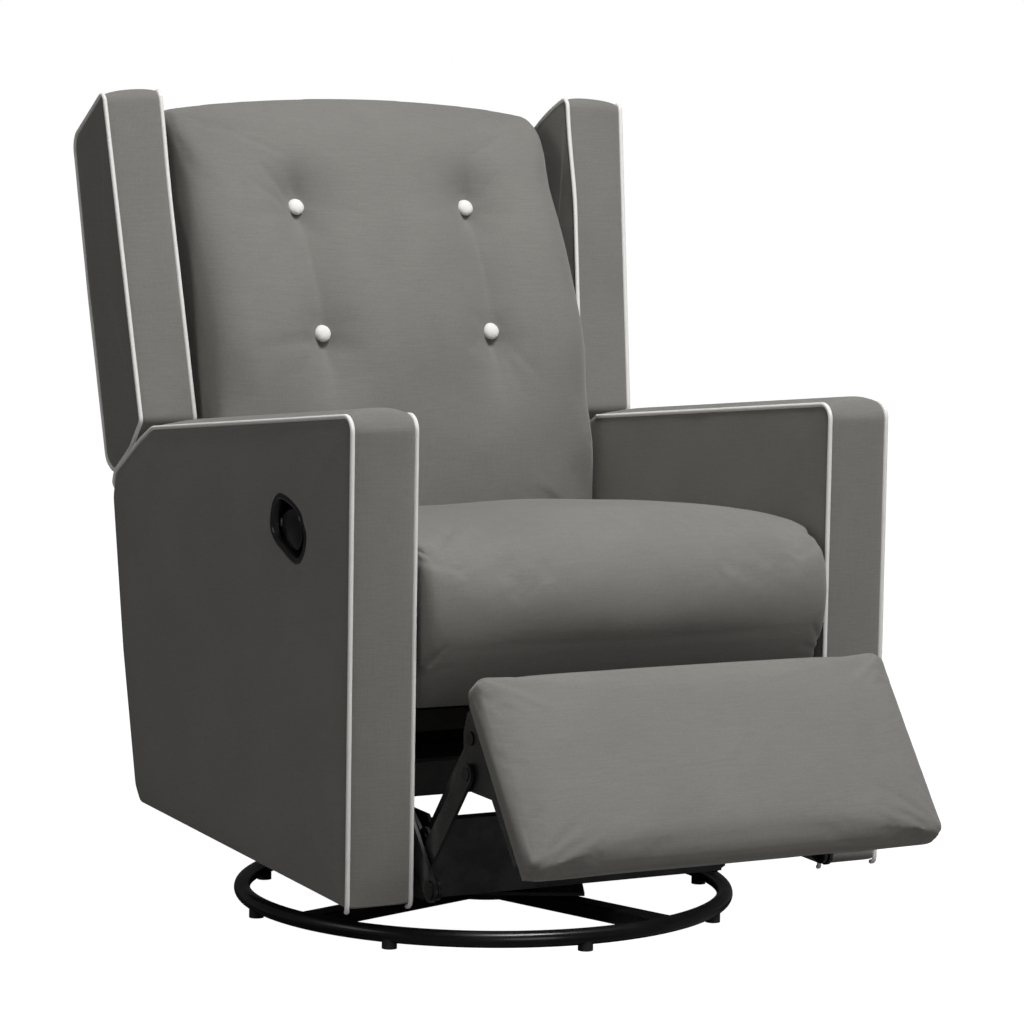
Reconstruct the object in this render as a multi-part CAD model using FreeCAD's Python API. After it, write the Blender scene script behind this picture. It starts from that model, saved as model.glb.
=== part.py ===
import FreeCAD, Part
import math
import os

# Swivel glider recliner. Millimetres, +Z up, the sitter faces -Y, +X is the sitter's left.
# Drawn about the swivel-side datum, then moved by ORIGIN_SHIFT_Y so that the
# origin lies on the floor under the middle of the bounding box.

V = FreeCAD.Vector
os.makedirs("parts", exist_ok=True)

# ---------------------------------------------------------------- driving dimensions
ORIGIN_SHIFT_Y = 32.1

RING_CY = 48.0            # swivel axis, along Y
RING_R = 299.0            # ring centreline radius
RING_TUBE = 10.0          # ring tube radius
RING_Z = 16.6             # ring centreline height
SPOKE_A0 = 18.0           # first spoke angle, degrees
SPOKE_W = 32.0
PAD_R = 9.0
PAD_ANGLES = (175.5, 220.5, 265.5, 310.5, 355.5, 40.5, 85.5, 130.5)

LOW_PLATE_HALF = 120.0
LOW_PLATE_Z = (31.0, 35.0)
UP_PLATE_HALF = 114.0
UP_PLATE_Z = (45.0, 49.0)
BALL_R = 4.95
BALL_N = 18
BALL_PCR = 58.0

GLIDE_YF = -90.0          # front link pivots
GLIDE_YR = 190.0          # rear link pivots
GLIDE_ZU = 156.0          # upper pivots
GLIDE_ZL = 70.0           # lower pivots

ARM_IN = 273.0            # arm inner plane
ARM_OUT = 353.0           # arm outer plane
ARM_PAD = 8.0
ARM_RAIL = 22.0
ARM_OUTLINE = [(-290.0, 84.0), (-290.0, 618.0), (-283.0, 630.0), (-270.0, 634.0),
               (272.0, 579.0), (310.0, 561.0), (348.0, 539.0), (391.0, 514.0),
               (400.0, 483.0), (365.0, 290.0), (323.0, 124.0), (307.0, 105.0)]

WING_T = 74.0
WING_X0, WING_Z0 = 351.0, 585.0      # outer plane, at the wing's foot
WING_X1, WING_Z1 = 372.5, 994.0      # outer plane, at the wing's head
WING_OUTLINE = [(315.0, 585.0), (357.0, 801.0), (388.0, 992.0), (494.0, 932.0),
                (465.0, 727.0), (430.0, 527.0), (409.0, 514.0)]

SEAT_HALF = 270.0
BACK_HALF = 269.0
PIVOT_BACK = (300.0, 330.0)

# footrest linkage pivots (y, z) with the footrest part way out
P_O = (-144.0, 267.5)     # drive tube
P_K = (-282.0, 117.5)     # knee
P_F = (-390.0, 247.0)     # bracket, lower pivot
P_R = (-281.7, 154.9)     # guide link on the main link
P_S = (-389.4, 286.2)     # guide link on the bracket
P_P = (-209.6, 231.7)     # control link on the side plate
P_Q = (-317.7, 104.4)     # control link on the lift link

FOOT_TOP = (-413.0, 356.0)
FOOT_TILT = 36.6
FOOT_LEN = 237.0
FOOT_HALF = 267.0

# plate planes of the footrest linkage, |x|
X_PLATE = (267.0, 271.0)
X_CTRL = (261.0, 265.0)
X_LIFT = (255.0, 259.0)
X_MAIN = (249.0, 253.0)
X_GUIDE = (243.0, 247.0)

HANDLE_Y, HANDLE_Z = -132.0, 496.0      # middle of the handle cup
# rim of the handle cup, (y, z) about its middle
CUP_RIM = [(19.5, 39.0), (-4.0, 34.8), (-27.5, 26.0), (-41.0, 15.5), (-48.0, 2.5), (-49.6, -9.5), (-44.5, -25.0), (-33.0, -37.0),
           (-19.0, -40.5), (-4.0, -37.0), (13.5, -30.0), (31.5, -22.5), (44.5, -13.0), (49.8, -1.0), (48.5, 13.5), (43.5, 26.0), (33.0, 36.0)]
HINGE_Y, HINGE_Z = -101.0, 499.5        # lever pin

BUTTONS = [(-122.0, 358.0, 849.0), (122.0, 358.0, 849.0), (-120.0, 279.0, 691.0), (120.0, 279.0, 691.0)]

PARTS = {}


def add(name, *shapes):
    sh = shapes[0] if len(shapes) == 1 else Part.makeCompound(list(shapes))
    PARTS[name] = sh


# ---------------------------------------------------------------- helpers
def box(x0, x1, y0, y1, z0, z1):
    return Part.makeBox(abs(x1 - x0), abs(y1 - y0), abs(z1 - z0), V(min(x0, x1), min(y0, y1), min(z0, z1)))


def cylx(x0, x1, y, z, r):
    a, b = min(x0, x1), max(x0, x1)
    return Part.makeCylinder(r, b - a, V(a, y, z), V(1, 0, 0))


def cylz(x, y, z0, z1, r):
    return Part.makeCylinder(r, z1 - z0, V(x, y, z0), V(0, 0, 1))


def prism(x0, x1, pts):
    """Polygon of (y, z) extruded along X."""
    w = Part.makePolygon([V(x0, y, z) for y, z in pts] + [V(x0, pts[0][0], pts[0][1])])
    return Part.Face(w).extrude(V(x1 - x0, 0, 0))


def slotbar(x0, x1, p, q, w0, w1=None):
    """Flat link with round ends, from p to q in (y, z)."""
    w1 = w0 if w1 is None else w1
    r0, r1 = w0 / 2.0, w1 / 2.0
    dy, dz = q[0] - p[0], q[1] - p[1]
    L = math.hypot(dy, dz)
    a = math.atan2(dz, dy)
    b = math.acos((r0 - r1) / L)
    def pt(c, r, t):
        return V(x0, c[0] + r * math.cos(t), c[1] + r * math.sin(t))
    e = [Part.LineSegment(pt(p, r0, a + b), pt(q, r1, a + b)).toShape(),
         Part.Arc(pt(q, r1, a + b), pt(q, r1, a), pt(q, r1, a - b)).toShape(),
         Part.LineSegment(pt(q, r1, a - b), pt(p, r0, a - b)).toShape(),
         Part.Arc(pt(p, r0, a - b), pt(p, r0, a + math.pi), pt(p, r0, a + b)).toShape()]
    return Part.Face(Part.Wire(e)).extrude(V(x1 - x0, 0, 0))


def pin(y, z, *segs):
    """Stepped pin on an X axis: segs are (x0, x1, r) end to end."""
    s = cylx(segs[0][0], segs[0][1], y, z, segs[0][2])
    for g in segs[1:]:
        s = s.fuse(cylx(g[0], g[1], y, z, g[2]))
    return s


def mirx(s):
    return s.mirror(V(0, 0, 0), V(1, 0, 0))


def both(s):
    return [s, mirx(s)]


def one(s):
    """First solid of a boolean result."""
    s = s.removeSplitter() if hasattr(s, "removeSplitter") else s
    sol = s.Solids
    return sol[0] if len(sol) == 1 else s


def tube_path(points, r, bend=None):
    """Round tube along straight runs joined by tangent arcs."""
    edges = []
    rr = []
    pts = [V(*p) for p in points]
    cur = pts[0]
    for i in range(1, len(pts) - 1):
        a, b, c = pts[i - 1], pts[i], pts[i + 1]
        u = (a - b).normalize()
        w = (c - b).normalize()
        turn = math.pi - u.getAngle(w)
        short = min((a - b).Length, (c - b).Length)
        t = 0.45 * short
        if bend is not None:
            t = min(t, bend * math.tan(turn / 2.0))
        rad = t / math.tan(turn / 2.0)
        p1 = b + u * t
        p2 = b + w * t
        bis = (u + w).normalize()
        mid = b + bis * (rad / math.cos(turn / 2.0) - rad)
        if (p1 - cur).Length > 1e-6:
            edges.append(Part.LineSegment(cur, p1).toShape())
        edges.append(Part.Arc(p1, mid, p2).toShape())
        rr.append(rad)
        cur = p2
    edges.append(Part.LineSegment(cur, pts[-1]).toShape())
    wire = Part.Wire(edges)
    d = (pts[1] - pts[0]).normalize()
    prof = Part.Wire(Part.makeCircle(r, pts[0], d))
    s = wire.makePipeShell([prof], True, True)
    if bend is None:
        print("tube radii", [round(x, 1) for x in rr], "vol ratio", round(s.Volume / (math.pi * r * r * wire.Length), 4))
    return s


# ---------------------------------------------------------------- floor base
ring = Part.makeTorus(RING_R, RING_TUBE, V(0, RING_CY, RING_Z), V(0, 0, 1))
add("base_ring", ring)

pads = []
for a in PAD_ANGLES:
    t = math.radians(a)
    c = cylz(RING_R * math.cos(t), RING_CY + RING_R * math.sin(t), 0.0, 12.0, PAD_R)
    pads.append(one(c.cut(ring)))
add("floor_pads", *pads)

spokes = cylz(0, RING_CY, 12.0, LOW_PLATE_Z[0], 58.0)
for k in range(4):
    bar = Part.makeBox(RING_R - 20.0, SPOKE_W, 18.0, V(20.0, -SPOKE_W / 2.0, 8.0))
    bar = bar.makeFillet(4.0, [e for e in bar.Edges if abs(e.tangentAt(e.FirstParameter).x) > 0.9])
    bar.rotate(V(0, 0, 0), V(0, 0, 1), SPOKE_A0 + 90.0 * k)
    bar.translate(V(0, RING_CY, 0))
    spokes = spokes.fuse(bar)
spokes = spokes.cut(ring)
spokes = [s for s in spokes.Solids if s.Volume > 50000][0]
outer = cylz(0, RING_CY, 0, 60, RING_R)
spokes = one(spokes.common(outer))
spokes = one(spokes.cut(cylz(0, RING_CY, 0, 60, 10.0)))
add("base_spokes", spokes)

low = box(-LOW_PLATE_HALF, LOW_PLATE_HALF, -LOW_PLATE_HALF, LOW_PLATE_HALF, LOW_PLATE_Z[0], LOW_PLATE_Z[1])
low.rotate(V(0, 0, 0), V(0, 0, 1), SPOKE_A0 + 45.0)
low.translate(V(0, RING_CY, 0))
low = low.cut(cylz(0, RING_CY, 0, 60, 10.0))
add("swivel_lower_plate", one(low))

spin = cylz(0, RING_CY, 14.0, UP_PLATE_Z[1] + 0.3, 10.0).fuse(cylz(0, RING_CY, UP_PLATE_Z[1] + 0.3, UP_PLATE_Z[1] + 5.3, 17.0))
add("swivel_spindle", one(spin))

# ---------------------------------------------------------------- turntable and glider base
up = box(-UP_PLATE_HALF, UP_PLATE_HALF, RING_CY - UP_PLATE_HALF, RING_CY + UP_PLATE_HALF, UP_PLATE_Z[0], UP_PLATE_Z[1])
up = up.cut(cylz(0, RING_CY, 0, 60, 10.06))
add("swivel_upper_plate", one(up))

bz = UP_PLATE_Z[0] - BALL_R
balls = []
cage = cylz(0, RING_CY, bz - 1.2, bz + 1.2, BALL_PCR + 9.0).cut(cylz(0, RING_CY, 0, 60, BALL_PCR - 9.0))
for k in range(BALL_N):
    t = 2 * math.pi * k / BALL_N
    c = V(BALL_PCR * math.cos(t), RING_CY + BALL_PCR * math.sin(t), bz)
    balls.append(Part.makeSphere(BALL_R, c))
    cage = cage.cut(cylz(c.x, c.y, 0, 60, BALL_R + 0.05))
add("swivel_balls", *balls)
add("swivel_ball_cage", one(cage))

Z_BAR = UP_PLATE_Z[1]
bars = []
for y0 in (-52.0, 122.0):
    b = box(-196.0, 196.0, y0, y0 + 26.0, Z_BAR, Z_BAR + 20.0)
    b = b.cut(box(-196.0, 196.0, y0 + 2.5, y0 + 23.5, Z_BAR + 2.5, Z_BAR + 17.5))
    bars.append(b)
add("glider_cross_bars", *bars)

gp = prism(196.0, 200.0, [(-176.0, 60.0), (-196.0, 72.0), (-196.0, 150.0), (-184.0, 163.0), (-74.0, 166.0),
                          (-60.0, 140.0), (160.0, 140.0), (174.0, 168.0), (206.0, 168.0), (222.0, 150.0), (222.0, 72.0), (206.0, 60.0)])
for y in (GLIDE_YF, GLIDE_YR):
    gp = gp.cut(cylx(190, 210, y, GLIDE_ZU, 5.0))
gp = one(gp)
add("glider_side_plates", *both(gp))

fc = box(-196.0, 196.0, -194.0, -190.0, 66.0, 156.0)
fc = fc.fuse(box(-196.0, 196.0, -190.0, -170.0, 152.5, 156.0)).fuse(box(-196.0, 196.0, -190.0, -170.0, 66.0, 69.5))
add("glider_front_channel", one(fc))

ups = []
for y in (GLIDE_YF, GLIDE_YR):
    ups += both(pin(y, GLIDE_ZU, (193.5, 196.0, 9.0), (196.0, 200.0, 5.0), (200.0, 203.8, 8.0), (203.8, 208.2, 5.0), (208.2, 210.4, 8.5)))
add("glide_upper_pins", *ups)

# ---------------------------------------------------------------- glide links
def glide_link(y, running_low):
    s = slotbar(204.0, 208.0, (y, GLIDE_ZU), (y, GLIDE_ZL), 24.0)
    s = s.cut(cylx(200, 212, y, GLIDE_ZU, 5.05)).cut(cylx(200, 212, y, GLIDE_ZL, running_low))
    return one(s)


add("glide_links_front", *both(glide_link(GLIDE_YF, 5.05)))
add("glide_links_rear", *both(glide_link(GLIDE_YR, 5.3)))

# ---------------------------------------------------------------- chair frame: rails and side plates
rail = prism(212.0, 216.0, [(-136.0, 66.0), (-128.0, 58.0), (240.0, 58.0), (248.0, 66.0), (240.0, 100.0), (232.0, 172.0),
                            (184.0, 172.0), (150.0, 110.0), (-50.0, 110.0), (-84.0, 172.0), (-128.0, 172.0), (-136.0, 150.0)])
for y in (GLIDE_YF, GLIDE_YR):
    rail = rail.cut(cylx(206, 220, y, GLIDE_ZL, 5.0))
add("glide_rails", *both(one(rail)))

lps = []
for y in (GLIDE_YF, GLIDE_YR):
    lps += both(pin(y, GLIDE_ZL, (216.0, 218.4, 9.0), (212.0, 216.0, 5.0), (208.2, 212.0, 8.0), (203.8, 208.2, 5.0), (201.6, 203.8, 8.5)))
add("glide_lower_pins", *lps)

cm = box(-267.0, 267.0, -122.0, -100.0, 172.0, 212.0).cut(box(-267.0, 267.0, -119.5, -102.5, 174.5, 209.5))
rm = box(-267.0, 267.0, 196.0, 220.0, 172.0, 200.0).cut(box(-267.0, 267.0, 198.5, 217.5, 174.5, 197.5))
add("cross_members", one(cm), one(rm))

mp = prism(X_PLATE[0], X_PLATE[1], [(-226.0, 216.0), (-228.0, 244.0), (-176.0, 296.0), (-118.0, 318.0), (-110.0, 395.0), (-60.0, 395.0),
                                    (-52.0, 318.0), (122.0, 318.0), (130.0, 395.0), (180.0, 395.0), (188.0, 330.0), (276.0, 354.0),
                                    (322.0, 356.0), (330.0, 306.0), (252.0, 246.0), (240.0, 172.0), (180.0, 172.0), (160.0, 214.0),
                                    (-64.0, 214.0), (-84.0, 172.0), (-140.0, 172.0), (-160.0, 214.0), (-196.0, 206.0)])
mp = mp.cut(cylx(260, 280, P_O[0], P_O[1], 6.06)).cut(cylx(260, 280, P_P[0], P_P[1], 5.0)).cut(cylx(260, 280, PIVOT_BACK[0], PIVOT_BACK[1], 6.0))
BOLT_YZ = [(-20.0, 290.0), (90.0, 290.0), (230.0, 300.0)]
for y, z in BOLT_YZ:
    mp = mp.cut(cylx(260, 280, y, z, 4.0))
TAB_YZ = [(-85.0, 372.0), (155.0, 372.0)]
for y, z in TAB_YZ:
    mp = mp.cut(cylx(260, 280, y, z, 3.0))
mp = one(mp)
add("mechanism_plate_left", mp)
add("mechanism_plate_right", mirx(mp))

mpins = both(pin(P_P[0], P_P[1], (267.0, 271.8, 5.0), (265.1, 267.0, 8.0), (260.9, 265.1, 5.0), (260.2, 260.9, 8.5)))
mpins += both(pin(PIVOT_BACK[0], PIVOT_BACK[1], (267.0, 271.8, 6.0), (265.1, 267.0, 9.0), (260.9, 265.1, 6.0), (258.9, 260.9, 10.0)))

# ---------------------------------------------------------------- arms
def inset(pts, d):
    """Inward offset of a convex-ish clockwise outline by d."""
    n = len(pts)
    out = []
    for i in range(n):
        a, b, c = pts[i - 1], pts[i], pts[(i + 1) % n]
        def nrm(p, q):
            dx, dy = q[0] - p[0], q[1] - p[1]
            L = math.hypot(dx, dy)
            return (dy / L, -dx / L)
        n1, n2 = nrm(a, b), nrm(b, c)
        k = 1.0 + n1[0] * n2[0] + n1[1] * n2[1]
        out.append((b[0] + d * (n1[0] + n2[0]) / k, b[1] + d * (n1[1] + n2[1]) / k))
    return out


in_a = inset(ARM_OUTLINE, ARM_PAD)
in_b = inset([in_a[0], (in_a[0][0], 627.0), in_a[4], in_a[5], in_a[7], in_a[8], in_a[9], in_a[11]], ARM_RAIL)
CX0, CX1 = ARM_IN + ARM_PAD, ARM_OUT - ARM_PAD
arm_solid = prism(ARM_IN, ARM_OUT, ARM_OUTLINE)
arm_hollow = prism(CX0, CX1, in_a)
arm_cover = arm_solid.cut(arm_hollow)
arm_frame = prism(CX0, CX1, in_a).cut(prism(CX0, CX1, in_b))
rib = box(CX0, CX1, 60.0, 82.0, 60.0, 700.0).common(prism(CX0, CX1, in_b))
rib2 = box(CX0, CX0 + 22.0, -290.0, 400.0, 280.0, 302.0).common(prism(CX0, CX1, in_b))
arm_frame = one(arm_frame.fuse(rib).fuse(rib2))

# piping: runs on the outer and the inner top edge, from the rear corner over the top and down the front
weld_pts = [ARM_OUTLINE[8], ARM_OUTLINE[7], ARM_OUTLINE[5], ARM_OUTLINE[4], ARM_OUTLINE[3], ARM_OUTLINE[1], (-290.0, 88.0)]
w_in = inset(ARM_OUTLINE, 1.0)
weld_pts = [w_in[8], w_in[7], w_in[5], w_in[4], w_in[3], w_in[1], (-289.0, 90.0)]
w_out = tube_path([(ARM_OUT - 1.0, y, z) for y, z in weld_pts], 2.6, 14.0)
# the inner run starts where the wing and the back leave off
w_inn_pts = [(262.0, 578.5)] + [p for p in weld_pts[4:]]
w_inn_pts[0] = (240.0, weld_pts[3][1] + (weld_pts[4][1] - weld_pts[3][1]) * (240.0 - weld_pts[3][0]) / (weld_pts[4][0] - weld_pts[3][0]))
w_inn = tube_path([(ARM_IN + 1.6, y, z) for y, z in w_inn_pts], 2.0, 14.0)
arm_cover = arm_cover.cut(w_out).cut(w_inn)

arm_l = arm_cover
arm_r = mirx(arm_cover)
frame_l = arm_frame
frame_r = mirx(arm_frame)
for y, z in BOLT_YZ:
    c = cylx(266, 312, y, z, 4.0)
    arm_l = arm_l.cut(c)
    arm_r = arm_r.cut(mirx(c))
    frame_l = frame_l.cut(c)
    frame_r = frame_r.cut(mirx(c))


# handle cup in the sitter's right arm
def cup_prism(x0, x1, k):
    """Rim outline scaled by k about its middle, extruded along X."""
    c = Part.BSplineCurve()
    c.interpolate(Points=[V(x0, HANDLE_Y + k * y, HANDLE_Z + k * z) for y, z in CUP_RIM], PeriodicFlag=True)
    return Part.Face(Part.Wire(c.toShape())).extrude(V(x1 - x0, 0, 0))


flange = cup_prism(-ARM_OUT, -ARM_OUT - 4.0, 1.0)
dish = cup_prism(-ARM_OUT + 24.0, -ARM_OUT, 0.88)
hollow = cup_prism(-ARM_OUT + 21.0, -ARM_OUT - 6.0, 0.80)
nipple = cylz(-337.0, -120.0, 440.0, 476.0, 5.0)
cup = flange.fuse(dish).fuse(nipple).cut(hollow)
arm_r = arm_r.cut(dish)

cable = tube_path([(-337.0, -120.0, 440.0), (-337.0, -116.0, 330.0), (-330.0, -92.0, 232.0), (-300.0, -62.0, 186.0),
                   (-250.0, -52.0, 186.0), (-229.5, -56.0, 214.0), (-229.5, -62.0, 248.0)], 2.5)
arm_r = arm_r.cut(cable)
frame_r = frame_r.cut(cable)
add("arm_cover_left", one(arm_l))
add("arm_cover_right", one(arm_r))
add("arm_frame_left", one(frame_l))
add("arm_frame_right", one(frame_r))
add("arm_piping", w_out, mirx(w_out), w_inn, mirx(w_inn))
add("release_cable", cable)

abolts = []
for y, z in BOLT_YZ:
    b = pin(y, z, (263.2, 267.0, 7.5), (267.0, 312.0, 4.0))
    abolts += both(one(b))
for y, z in TAB_YZ:
    b = pin(y, z, (240.0, 271.0, 3.0), (271.0, 272.6, 6.0))
    abolts += both(one(b))
add("frame_bolts", *abolts)

# lever: hinged on an upright pin at the rear of the cup, drawn outward by the fingers
LV_X = -347.5
LEVER_RIM = [(-108.0, 509.0), (-118.0, 515.5), (-129.0, 517.5), (-140.0, 515.0), (-149.0, 507.5), (-153.0, 497.5), (-154.0, 489.0),
             (-151.5, 479.5), (-146.5, 472.5), (-139.5, 470.5), (-130.0, 472.0), (-117.0, 477.5), (-109.0, 484.0), (-104.5, 489.0), (-101.0, 493.0), (-101.0, 506.0)]
hp = cylz(LV_X, HINGE_Y, HINGE_Z - 18.5, HINGE_Z + 18.5, 2.4)
lev = prism(-350.0, -345.0, LEVER_RIM).fuse(cylz(LV_X, HINGE_Y, HINGE_Z - 12.5, HINGE_Z + 12.5, 4.2))
lev = lev.cut(cylz(LV_X, HINGE_Y, 440, 560, 2.46)).cut(cylz(LV_X, HINGE_Y, HINGE_Z - 6.0, HINGE_Z + 6.0, 4.5))
for z0, z1 in ((HINGE_Z - 20.0, HINGE_Z - 12.5), (HINGE_Z + 12.5, HINGE_Z + 20.0)):
    lev = lev.cut(cylz(LV_X, HINGE_Y, z0, z1, 5.2))
lev = lev.cut(box(-344.9, -340, HINGE_Y - 6.0, HINGE_Y + 6.0, HINGE_Z - 6.0, HINGE_Z + 6.0))
add("handle_lever", one(lev))
pst = hp
for s in (-1, 1):
    pst = pst.fuse(box(LV_X - 3.0, -ARM_OUT + 22.0, HINGE_Y - 3.0, HINGE_Y + 3.0, HINGE_Z + s * 13.2, HINGE_Z + s * 20.0))
cup = cup.fuse(pst.common(cup_prism(-ARM_OUT + 24.0, -ARM_OUT, 0.84)))
cup = cup.cut(cable)
add("handle_cup", one(cup))
spr = []
coil_edges = Part.makeHelix(1.8, 9.0, 3.4)
coil_edges.translate(V(LV_X, HINGE_Y, HINGE_Z - 4.5))
st = coil_edges.Edges[0]
p0 = st.valueAt(st.FirstParameter)
d0 = st.tangentAt(st.FirstParameter)
cprof = Part.Wire(Part.makeCircle(0.6, p0, d0))
spring = Part.Wire(coil_edges.Edges).makePipeShell([cprof], True, True)
add("lever_spring", spring)

# ---------------------------------------------------------------- seat
sf = box(-267.0, 267.0, -258.0, 227.0, 345.0, 405.0).cut(box(-245.0, 245.0, -236.0, 205.0, 340.0, 410.0))
sf = sf.fuse(box(-262.0, 262.0, -258.0, -236.0, 316.0, 345.0))
for y, z in TAB_YZ:
    sf = sf.cut(cylx(239, 280, y, z, 3.0)).cut(cylx(-280, -239, y, z, 3.0))
sf = sf.cut(box(-259.0, 259.0, 200.0, 230.0, 340.0, 344.9))
add("seat_frame", one(sf))


def sinuous(length, pitch, half, r):
    """Zig-zag spring wire in the XY plane, running along +X from the origin."""
    n = int(length / pitch)
    e = []
    x = 0.0
    rad = pitch / 2.0
    s = 1
    cur = V(0, 0, 0)
    for i in range(n):
        top = V(x, s * (half - rad), 0)
        if (top - cur).Length > 1e-6:
            e.append(Part.LineSegment(cur, top).toShape())
        nxt = V(x + pitch, s * (half - rad), 0)
        mid = V(x + rad, s * half, 0)
        e.append(Part.Arc(top, mid, nxt).toShape())
        cur = nxt
        x += pitch
        s = -s
    end = V(x, 0, 0)
    e.append(Part.LineSegment(cur, end).toShape())
    w = Part.Wire(e)
    t = e[0].tangentAt(e[0].FirstParameter)
    prof = Part.Wire(Part.makeCircle(r, V(0, 0, 0), t))
    return w.makePipeShell([prof], True, True), x


zs = []
base_spring, sl = sinuous(456.0, 24.0, 22.0, 1.9)
for x in (-180.0, -90.0, 0.0, 90.0, 180.0):
    s = base_spring.copy()
    s.rotate(V(0, 0, 0), V(0, 0, 1), 90.0)
    s.translate(V(x, -244.0, 407.0))
    zs.append(s)
add("seat_springs", *zs)

seat_pts = [(238.0, 410.0), (238.0, 482.0), (150.0, 504.0), (20.0, 519.0), (-110.0, 522.0), (-215.0, 512.0), (-280.0, 488.0),
            (-318.0, 450.0), (-334.0, 405.0), (-334.0, 362.0), (-320.0, 324.0), (-300.0, 307.0), (-262.0, 304.5), (-262.0, 410.0)]
add("seat_cushion", prism(-SEAT_HALF, SEAT_HALF, seat_pts))

# ---------------------------------------------------------------- rear of the chair frame
add("rear_frame_rail", box(-272.7, 272.7, 304.0, 326.0, 200.0, 248.0))
add("lower_back_panel", prism(-272.7, 272.7, [(338.6, 244.0), (351.1, 244.0), (321.0, 120.0), (308.5, 120.0)]))

# ---------------------------------------------------------------- back
def yr(z):                 # rear plane of the back cushion
    return 384.0 + 0.187 * (z - 525.0)


def yo(z):                 # outer face of the back
    return 427.0 + 0.157 * (z - 525.0)


cush = [(yr(402.0), 402.0), (248.0, 402.0), (238.5, 430.0), (238.5, 480.0), (236.0, 560.0), (243.0, 640.0), (255.0, 700.0), (284.0, 765.0),
        (332.0, 852.0), (378.0, 922.0), (420.0, 966.0), (446.0, 982.0), (462.0, 978.0), (yr(966.0), 966.0)]
bc = prism(-BACK_HALF, BACK_HALF, cush)
cham = Part.makeBox(60, 400, 60, V(-30, 0, -30))
btn = []
for x, y, z in BUTTONS:
    bc = bc.cut(Part.makeCylinder(14.0, 140.0, V(x, y + 4.0, z), V(0, -1, 0)))
    b = Part.makeCylinder(11.0, 5.0, V(x, y + 4.0, z), V(0, -1, 0))
    dome = Part.makeSphere(17.0, V(x, y + 4.0 - 5.0 + 12.96, z)).common(Part.makeCylinder(11.0, 9.0, V(x, y - 1.0, z), V(0, -1, 0)))
    btn.append(one(b.fuse(dome)))
add("back_cushion", one(bc))
add("tuft_buttons", *btn)


def slab(z0, z1, d0, d1, x0, x1):
    """Board in the back plane: d0..d1 is the depth behind the cushion's rear plane."""
    return prism(x0, x1, [(yr(z0) + d0, z0), (yr(z0) + d1, z0), (yr(z1) + d1, z1), (yr(z1) + d0, z1)])


bf = slab(352.0, 950.0, 7.0, 24.0, -261.0, -239.0).fuse(slab(352.0, 950.0, 7.0, 24.0, 239.0, 261.0))
for z0, z1 in ((430.0, 480.0), (690.0, 730.0), (900.0, 950.0)):
    bf = bf.fuse(slab(z0, z1, 7.0, 24.0, -240.0, 240.0))
add("back_frame", one(bf))

bs = []
bspring, bl = sinuous(480.0, 24.0, 20.0, 1.7)
tilt = math.degrees(math.atan(0.187))
for z in (560.0, 630.0, 790.0, 860.0):
    s = bspring.copy()
    s.rotate(V(0, 0, 0), V(1, 0, 0), 90.0 - tilt)
    s.translate(V(-bl / 2.0, yr(z) + 3.5, z))
    bs.append(s)
add("back_springs", *bs)

panel_pts = [(yr(288.0) + 25.5, 288.0), (yo(288.0) - 2.0, 288.0), (yo(525.0), 525.0), (yo(932.0), 932.0), (yo(958.0), 958.0),
             (yr(974.0) + 14.0, 974.0), (yr(967.0) + 2.0, 967.0), (yr(952.0) + 2.0, 952.0), (yr(952.0) + 25.5, 952.0)]
add("outer_back_panel", prism(-BACK_HALF, BACK_HALF, panel_pts))


def wing_x(z):
    return WING_X0 + (WING_X1 - WING_X0) * (z - WING_Z0) / (WING_Z1 - WING_Z0)


def tilted_slab(pts, dx0, dx1):
    """Closed solid between two leaning planes, x = wing_x(z) - dx."""
    a = [V(wing_x(z) - dx0, y, z) for y, z in pts]
    b = [V(wing_x(z) - dx1, y, z) for y, z in pts]
    n = len(pts)
    faces = [Part.Face(Part.makePolygon(a + [a[0]])), Part.Face(Part.makePolygon(b + [b[0]]))]
    for i in range(n):
        j = (i + 1) % n
        faces.append(Part.Face(Part.makePolygon([a[i], a[j], b[j], b[i], a[i]])))
    s = Part.makeSolid(Part.makeShell(faces))
    if s.Volume < 0:
        s.reverse()
    return s


wing = tilted_slab(WING_OUTLINE, 0.0, WING_T)
w_in2 = inset([WING_OUTLINE[i] for i in (0, 2, 3, 5, 6)], 16.0)
board = tilted_slab(w_in2, 28.0, 46.0)
wing = wing.cut(board)
o1 = inset(WING_OUTLINE, 1.0)
loop = [o1[6], o1[0], o1[1], o1[2], o1[3], o1[4], o1[5], (o1[6][0] + 3.0, o1[6][1] + 2.0)]
wp_o = tube_path([(wing_x(z) - 1.0, y, z) for y, z in loop], 2.4, 10.0)
wp_i = tube_path([(wing_x(z) - WING_T + 1.0, y, z) for y, z in (o1[3], o1[2], o1[1], o1[0])], 2.4, 10.0)
wing = one(wing.cut(wp_o).cut(wp_i))
add("wing_left", wing)
add("wing_right", mirx(wing))
add("wing_boards", *both(one(board)))
add("wing_piping", wp_o, mirx(wp_o), wp_i, mirx(wp_i))

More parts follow.
